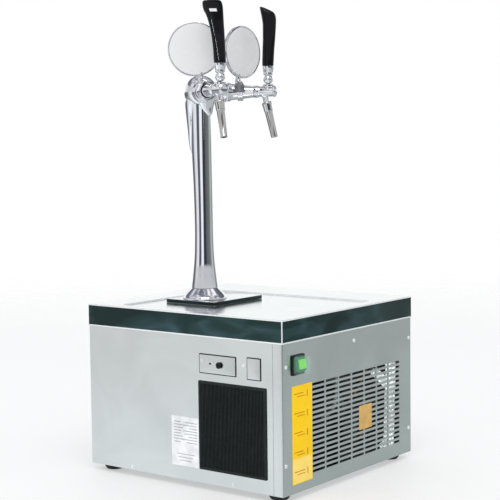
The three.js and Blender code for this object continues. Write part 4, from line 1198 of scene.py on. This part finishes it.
def make_handles():
    grip, badge = handle_grip(), handle_badge()
    for name, side in SIDES:
        at = (TOWER.x + side * TAP_X, TOWER.y - TAP_FORWARD, ARM_Z + HANDLE_BASE)
        place = Matrix.Translation(at) @ Matrix.Rotation(HANDLE_TURN[name], 4, "Z")
        build(f"handle_grip_{name}", moved(grip, place), GLOSS_BLACK, f"lever_{name}", [f"handle_{name}"],
              sharp=60)
        build(f"handle_badge_{name}", moved(badge, place), WHITE_ENAMEL, f"lever_{name}",
              sharp=60)


# ------------------------------------------------------------------ medallions
def rod_between(start, end, r0, r1, sides=48):
    along = end - start
    bar = lathe([(0, 0), (r0, 0), (r1, along.length), (0, along.length)], sides)
    turn = along.to_track_quat("Z", "Y").to_matrix().to_4x4()
    return moved(bar, Matrix.Translation(start) @ turn)


def clamp_collar(bore):
    """A grooved ring about Z that clamps the shank."""
    # Height over the bore and place along the shank.
    section = [
        (0, -CLAMP_HALF), (CLAMP_WALL - 0.5, -CLAMP_HALF), (CLAMP_WALL, 0.5 - CLAMP_HALF), (CLAMP_WALL, -1),
        (CLAMP_WALL - 0.6, -0.4), (CLAMP_WALL - 0.6, 0.4), (CLAMP_WALL, 1), (CLAMP_WALL, CLAMP_HALF - 0.5),
        (CLAMP_WALL - 0.5, CLAMP_HALF), (0, CLAMP_HALF),
    ]
    return lathe([(bore + r, h) for r, h in section], closed=True)


def clamp_knob():
    stud = lathe([(0, 0), (2.6, 0), (2.6, 3.2), (4.6, 3.4), (4.6, 3.8), (0, 3.8)], 40)
    end = lathe([(0, 9.4), (8.8, 9.4), (8.2, 10.3), (6.8, 10.7), (4.4, 10.9), (4, 10.2), (0, 10.1)], 64)
    return carved(knurled(10, 3.2, 9.8, 30, 0.8), add=[stud, end])


def make_brackets():
    bore = shank_taper(CLAMP_PLACE) + 1
    collar, knob = clamp_collar(bore), clamp_knob()
    hub = lathe([(0, -5.6), (4.6, -5.4), (5.4, -4.8), (5.7, -4), (5.7, 3.6), (5.3, 4.3), (4.7, HUB_TOP),
                 (0, HUB_TOP)], 64)
    for name, side in SIDES:
        curve = shank_curve(side)
        at = curve(CLAMP_PLACE)
        along = (curve(CLAMP_PLACE + 0.01) - curve(CLAMP_PLACE - 0.01)).normalized()
        place = Matrix.Translation(at) @ Matrix.Rotation(math.atan2(along.x, -along.y), 4, "Z")
        knuckle = Vector((TOWER.x + side * KNUCKLE[0], TOWER.y - KNUCKLE[1], KNUCKLE[2]))
        stem = rod_between(at + Vector((0, 0, bore + 1)), knuckle, 5.2, 4.2)
        post = cast(combined(stem, shifted(hub, *knuckle)), 0.35, 4)
        bracket = combined(moved(moved(collar, TO_FRONT), place), post)
        build(f"medallion_post_{name}", bracket, CHROME, "cabinet", [f"medallion_bracket_{name}"])
        turn = (place @ Matrix.Rotation(-side * math.pi / 2, 4, "Z")
                @ Matrix.Translation((0, 0.6 - bore - CLAMP_WALL - GAP, 8)) @ TO_FRONT)
        build(f"clamp_knob_{name}", moved(knob, turn), KNURLED_CHROME_PAINTED_DARK, "cabinet", [f"clamp_screw_{name}"],
              sharp=26)


def make_medallions():
    r, rim, back, front = MEDALLION_R, MEDALLION_RIM, -4.75, 4.75
    cup = [
        (0, back), (r - 6, back), (r - 3.4, back + 0.3), (r - 1.6, back + 1.1), (r - 0.5, back + 2.3),
        (r, back + 3.8), (r, front - 3), (r - 0.5, front - 2.6), (r - 0.5, front - 2.2), (r, front - 1.8),
        (r, front - 0.8), (r - 0.3, front - 0.2), (r - 0.9, front), (r - rim + 0.5, front),
        (r - rim, front - 0.5), (r - rim, back + 2.5), (0, back + 2.5),
    ]
    face_r = r - rim - GAP
    dome = [(face_r * math.cos(math.radians(a)), front - 0.8 + 2.2 * math.sin(math.radians(a)))
            for a in range(0, 90, 6)]
    face = [(0, back + 2.8), (face_r, back + 2.8), (face_r, front - 1.2), *dome, (0, front + 1.4)]
    centre = Matrix.Translation((0, 0, MEDALLION_Z)) @ TO_FRONT
    lug_low, lug_high = KNUCKLE[2] + HUB_TOP + GAP, MEDALLION_Z - r + 6
    lug = lathe([(0, lug_low), (4, lug_low), (4.4, lug_low + 0.4), (4.4, lug_high), (0, lug_high)], 64)
    inside = lathe([(0, lug_low), (4.8, lug_low), (4.8, lug_high + 1), (0, lug_high + 1)], 48)
    for name, side in SIDES:
        offset = Matrix.Translation((side * MEDALLION_OFFSET, 0, 0))
        at = (TOWER.x + side * KNUCKLE[0], TOWER.y - KNUCKLE[1], 0)
        place = Matrix.Translation(at) @ Matrix.Rotation(MEDALLION_TURN[name], 4, "Z")
        shell = carved(moved(lathe(cup, 160), offset @ centre), add=[lug])
        plate = carved(moved(lathe(face, 160), offset @ centre), remove=[inside])
        body = f"medallion_{name}"
        build(f"medallion_cup_{name}", moved(shell, place), CHROME, body, [f"medallion_shell_{name}"],
              sharp=30)
        build(f"medallion_disc_{name}", moved(plate, place), WHITE_ENAMEL, body, [f"medallion_face_{name}"],
              sharp=30)


# ------------------------------------------------------------------ the CAD nodes that are kept
CARRIED = {
    "base_plate": INNER_STEEL, "tower_nut": INNER_STEEL, "tank_lid": INNER_STEEL, "water_tank": FOAM,
    "product_coil_left": INNER_STEEL, "product_coil_right": INNER_STEEL, "agitator_propeller": INNER_STEEL,
    "agitator_motor": PAINTED_BLACK, "evaporator_coil": COPPER,
    "fan_motor": PAINTED_BLACK, "fan_wheel": MOULDED_BLACK, "thermostat_body": PAINTED_BLACK,
    "beer_line_left": LINE_PLASTIC, "beer_line_right": LINE_PLASTIC,
    "valve_plunger_left": MOULDED_BLACK, "valve_plunger_right": MOULDED_BLACK,
}


def finish_carried_nodes():
    for name, material in CARRIED.items():
        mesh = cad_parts[name].data
        mesh.materials.clear()
        mesh.materials.append(material)


# ------------------------------------------------------------------ stage
CAMERA_AT = Vector((-2003.9, -1535.1, 613.8))
CAMERA_FORWARD = Vector((0.7908, 0.6068, -0.0797)).normalized()
CAMERA_ROLL = math.radians(-0.69)
CAMERA_LENS = 95.65
FLOOR_RADIUS = 4.2
# What polished metal mirrors: (share of a turn from -X, colour) level with it, above and below.
LEVEL_FLAGS = [
    (0.0, (0.10, 0.11, 0.17)), (0.008, (0.10, 0.11, 0.17)), (0.018, (1, 1, 1)), (0.088, (0.98, 0.98, 1)),
    (0.098, (0.04, 0.045, 0.08)), (0.17, (0.035, 0.04, 0.06)), (0.19, (0.12, 0.125, 0.125)),
    (0.34, (0.2, 0.21, 0.21)), (0.37, (0.44, 0.5, 0.495)), (0.43, (0.5, 0.55, 0.55)),
    (0.46, (0.28, 0.29, 0.3)), (0.585, (0.28, 0.29, 0.31)), (0.65, (0.14, 0.14, 0.17)),
    (0.79, (0.16, 0.16, 0.2)),
    (0.845, (0.85, 0.86, 0.88)), (0.925, (0.91, 0.925, 0.915)), (0.94, (0.10, 0.11, 0.17)),
    (1.0, (0.10, 0.11, 0.17)),
]
HIGH_FLAGS = [
    (0.0, (0.85, 0.85, 0.88)), (0.07, (0.85, 0.85, 0.88)), (0.11, (0.2, 0.185, 0.17)),
    (0.25, (0.24, 0.22, 0.2)), (0.3, (0.85, 0.85, 0.88)), (0.38, (0.8, 0.8, 0.84)),
    (0.43, (0.12, 0.12, 0.14)), (0.65, (0.12, 0.12, 0.15)), (0.87, (0.2, 0.205, 0.235)),
    (0.92, (0.85, 0.85, 0.9)), (1.0, (0.85, 0.85, 0.88)),
]
LOW_FLAGS = [
    (0.0, (0.75, 0.77, 0.8)), (0.11, (0.8, 0.8, 0.84)), (0.2, (0.55, 0.57, 0.6)),
    (0.36, (0.5, 0.575, 0.57)), (0.46, (0.5, 0.575, 0.57)), (0.53, (0.36, 0.37, 0.38)),
    (0.8, (0.36, 0.37, 0.38)), (0.86, (1.05, 1.13, 1.17)), (0.94, (1.05, 1.13, 1.17)),
    (1.0, (0.75, 0.77, 0.8)),
]
# The clutter overhead: (noise value, colour).
CEILING = [
    (0.0, (0.1, 0.11, 0.14)), (0.38, (0.17, 0.18, 0.22)), (0.45, (0.38, 0.39, 0.45)),
    (0.54, (0.5, 0.51, 0.57)), (0.58, (1.05, 1.05, 1.08)), (0.62, (1.05, 1.05, 1.08)),
    (0.66, (0.36, 0.37, 0.43)), (1.0, (0.2, 0.2, 0.26)),
]


def make_camera():
    right = CAMERA_FORWARD.cross(Vector((0, 0, 1))).normalized()
    up = right.cross(CAMERA_FORWARD)
    rolled_right = right * math.cos(CAMERA_ROLL) + up * math.sin(CAMERA_ROLL)
    rolled_up = up * math.cos(CAMERA_ROLL) - right * math.sin(CAMERA_ROLL)
    camera = bpy.data.objects.new("camera", bpy.data.cameras.new("camera"))
    bpy.context.scene.collection.objects.link(camera)
    rotation = Matrix((rolled_right, rolled_up, -CAMERA_FORWARD)).transposed()
    camera.matrix_world = Matrix.Translation(CAMERA_AT * MM + SHIFT) @ rotation.to_4x4()
    camera.data.lens = CAMERA_LENS
    camera.data.sensor_width = 36
    camera.data.clip_start = 0.05
    camera.data.clip_end = 60
    bpy.context.scene.camera = camera


def make_floor():
    """A pale disc that fades out at its rim, so that no edge of it shows."""
    finish = Finish("pale_floor", (0.52, 0.52, 0.515), 0.55)
    finish.vary_color(finish.noise(3, detail=3), 0.01)
    finish.set("Emission Color", (1, 1, 1))
    finish.set("Emission Strength", 0.42)
    distance = finish.add("ShaderNodeVectorMath", {0: finish.coordinates()}, operation="LENGTH")
    fade = finish.add("ShaderNodeMapRange", {
        "Value": distance.outputs["Value"], "From Min": FLOOR_RADIUS * 0.3, "From Max": FLOOR_RADIUS,
        "To Min": 1, "To Max": 0,
    }, interpolation_type="SMOOTHSTEP")
    finish.set("Alpha", fade.outputs["Result"])
    points = [(FLOOR_RADIUS * math.cos(a), FLOOR_RADIUS * math.sin(a), 0)
              for a in (2 * math.pi * i / 96 for i in range(96))]
    floor = bpy.data.objects.new("floor", mesh_of("floor", (points, [tuple(range(96))])))
    floor.data.materials.append(finish.material)
    floor.visible_glossy = False
    bpy.context.scene.collection.objects.link(floor)


def make_world():
    """A white studio for the eye and for matt surfaces; polished ones mirror flags, screens and lamps."""
    world = bpy.data.worlds.new("studio")
    bpy.context.scene.world = world
    world.use_nodes = True
    tree = world.node_tree
    tree.nodes.clear()
    direction = add_node(tree, "ShaderNodeTexCoord", {}).outputs["Generated"]
    split = add_node(tree, "ShaderNodeSeparateXYZ", {"Vector": direction})
    height = split.outputs["Z"]

    def along(vector):
        inputs = {0: direction, 1: vector}
        return add_node(tree, "ShaderNodeVectorMath", inputs, operation="DOT_PRODUCT").outputs["Value"]

    def noise(scale, distortion):
        inputs = {"Vector": direction, "Scale": scale, "Detail": 1, "Distortion": distortion}
        return add_node(tree, "ShaderNodeTexNoise", inputs).outputs["Fac"]

    def step(source, low, high):
        inputs = {"Value": source, "From Min": low, "From Max": high}
        node = add_node(tree, "ShaderNodeMapRange", inputs, interpolation_type="SMOOTHSTEP")
        return node.outputs["Result"]

    def mix(factor, a, b):
        inputs = {"Factor": factor, "A": a, "B": b}
        return add_node(tree, "ShaderNodeMix", inputs, data_type="RGBA").outputs["Result"]

    def background(color, strength=1.0):
        inputs = {"Color": color, "Strength": strength}
        return add_node(tree, "ShaderNodeBackground", inputs).outputs["Background"]

    def choice(factor, a, b):
        return add_node(tree, "ShaderNodeMixShader", {"Fac": factor, 1: a, 2: b}).outputs["Shader"]

    azimuth = add_node(tree, "ShaderNodeMath", {0: split.outputs["Y"], 1: split.outputs["X"]},
                       operation="ARCTAN2")
    around = {"Value": azimuth.outputs["Value"], "From Min": -math.pi, "From Max": math.pi}
    turn = add_node(tree, "ShaderNodeMapRange", around).outputs["Result"]
    waver = add_node(tree, "ShaderNodeMath", {0: noise(1.1, 0.8), 1: 0.1, 2: turn}, operation="MULTIPLY_ADD")

    level = color_ramp(tree, turn, LEVEL_FLAGS)
    high = color_ramp(tree, waver.outputs["Value"], HIGH_FLAGS)
    low = color_ramp(tree, turn, LOW_FLAGS)
    ceiling = color_ramp(tree, noise(2.4, 1.2), CEILING)
    screen = mix(step(along((0.79, 0.61, 0)), 0.2, 0.9), (0.63, 0.64, 0.66), (1.05, 1.07, 1.07))
    above = mix(step(height, 0.33, 0.4), screen, mix(step(height, 0.58, 0.66), high, ceiling))
    upper = mix(step(along((0.0316, 0.0244, 1)), 0.03, 0.075), level, above)
    mirrored = mix(step(height, -0.212, -0.193), low, upper)
    path = add_node(tree, "ShaderNodeLightPath", {})
    shiny = choice(path.outputs["Is Glossy Ray"], background((0.97, 0.98, 1), 0.95), background(mirrored))
    seen = choice(path.outputs["Is Camera Ray"], shiny, background((1, 1, 1)))
    add_node(tree, "ShaderNodeOutputWorld", {"Surface": seen})


def make_light(name, at, target, size, power):
    light = bpy.data.lights.new(name, "AREA")
    light.shape = "RECTANGLE"
    light.size, light.size_y = size
    light.energy = power
    obj = bpy.data.objects.new(name, light)
    bpy.context.scene.collection.objects.link(obj)
    obj.location = at
    obj.rotation_euler = (Vector(target) - Vector(at)).to_track_quat("-Z", "Y").to_euler()
    return obj


def make_lights():
    make_light("key", (-1.6, -1.2, 2.9), (0, 0, 0.3), (1.8, 1.8), 26)
    glint = make_light("handle_glint", (-2.5, -0.75, 0.95), (-0.1, 0, 0.86), (0.05, 0.5), 12)
    lit_alone = bpy.data.collections.new("lit_by_glint")
    lit_alone.objects.link(bpy.data.objects["handle_grip_left"])
    glint.light_linking.receiver_collection = lit_alone


# ------------------------------------------------------------------ everything
bpy.context.scene.view_settings.view_transform = "Standard"
make_camera()
make_floor()
make_world()
make_front_panel()
make_side_and_rear_panels()
make_top_tray()
make_feet()
make_screws()
make_control_plates()
make_thermostat_knob()
make_grille()
make_switch()
make_labels()
make_rear_fittings()
make_compressor()
make_pipes()
make_condenser()
make_tower_foot()
make_column()
make_head()
make_shanks()
make_taps()
make_levers()
make_handles()
make_brackets()
make_medallions()
finish_carried_nodes()
make_lights()
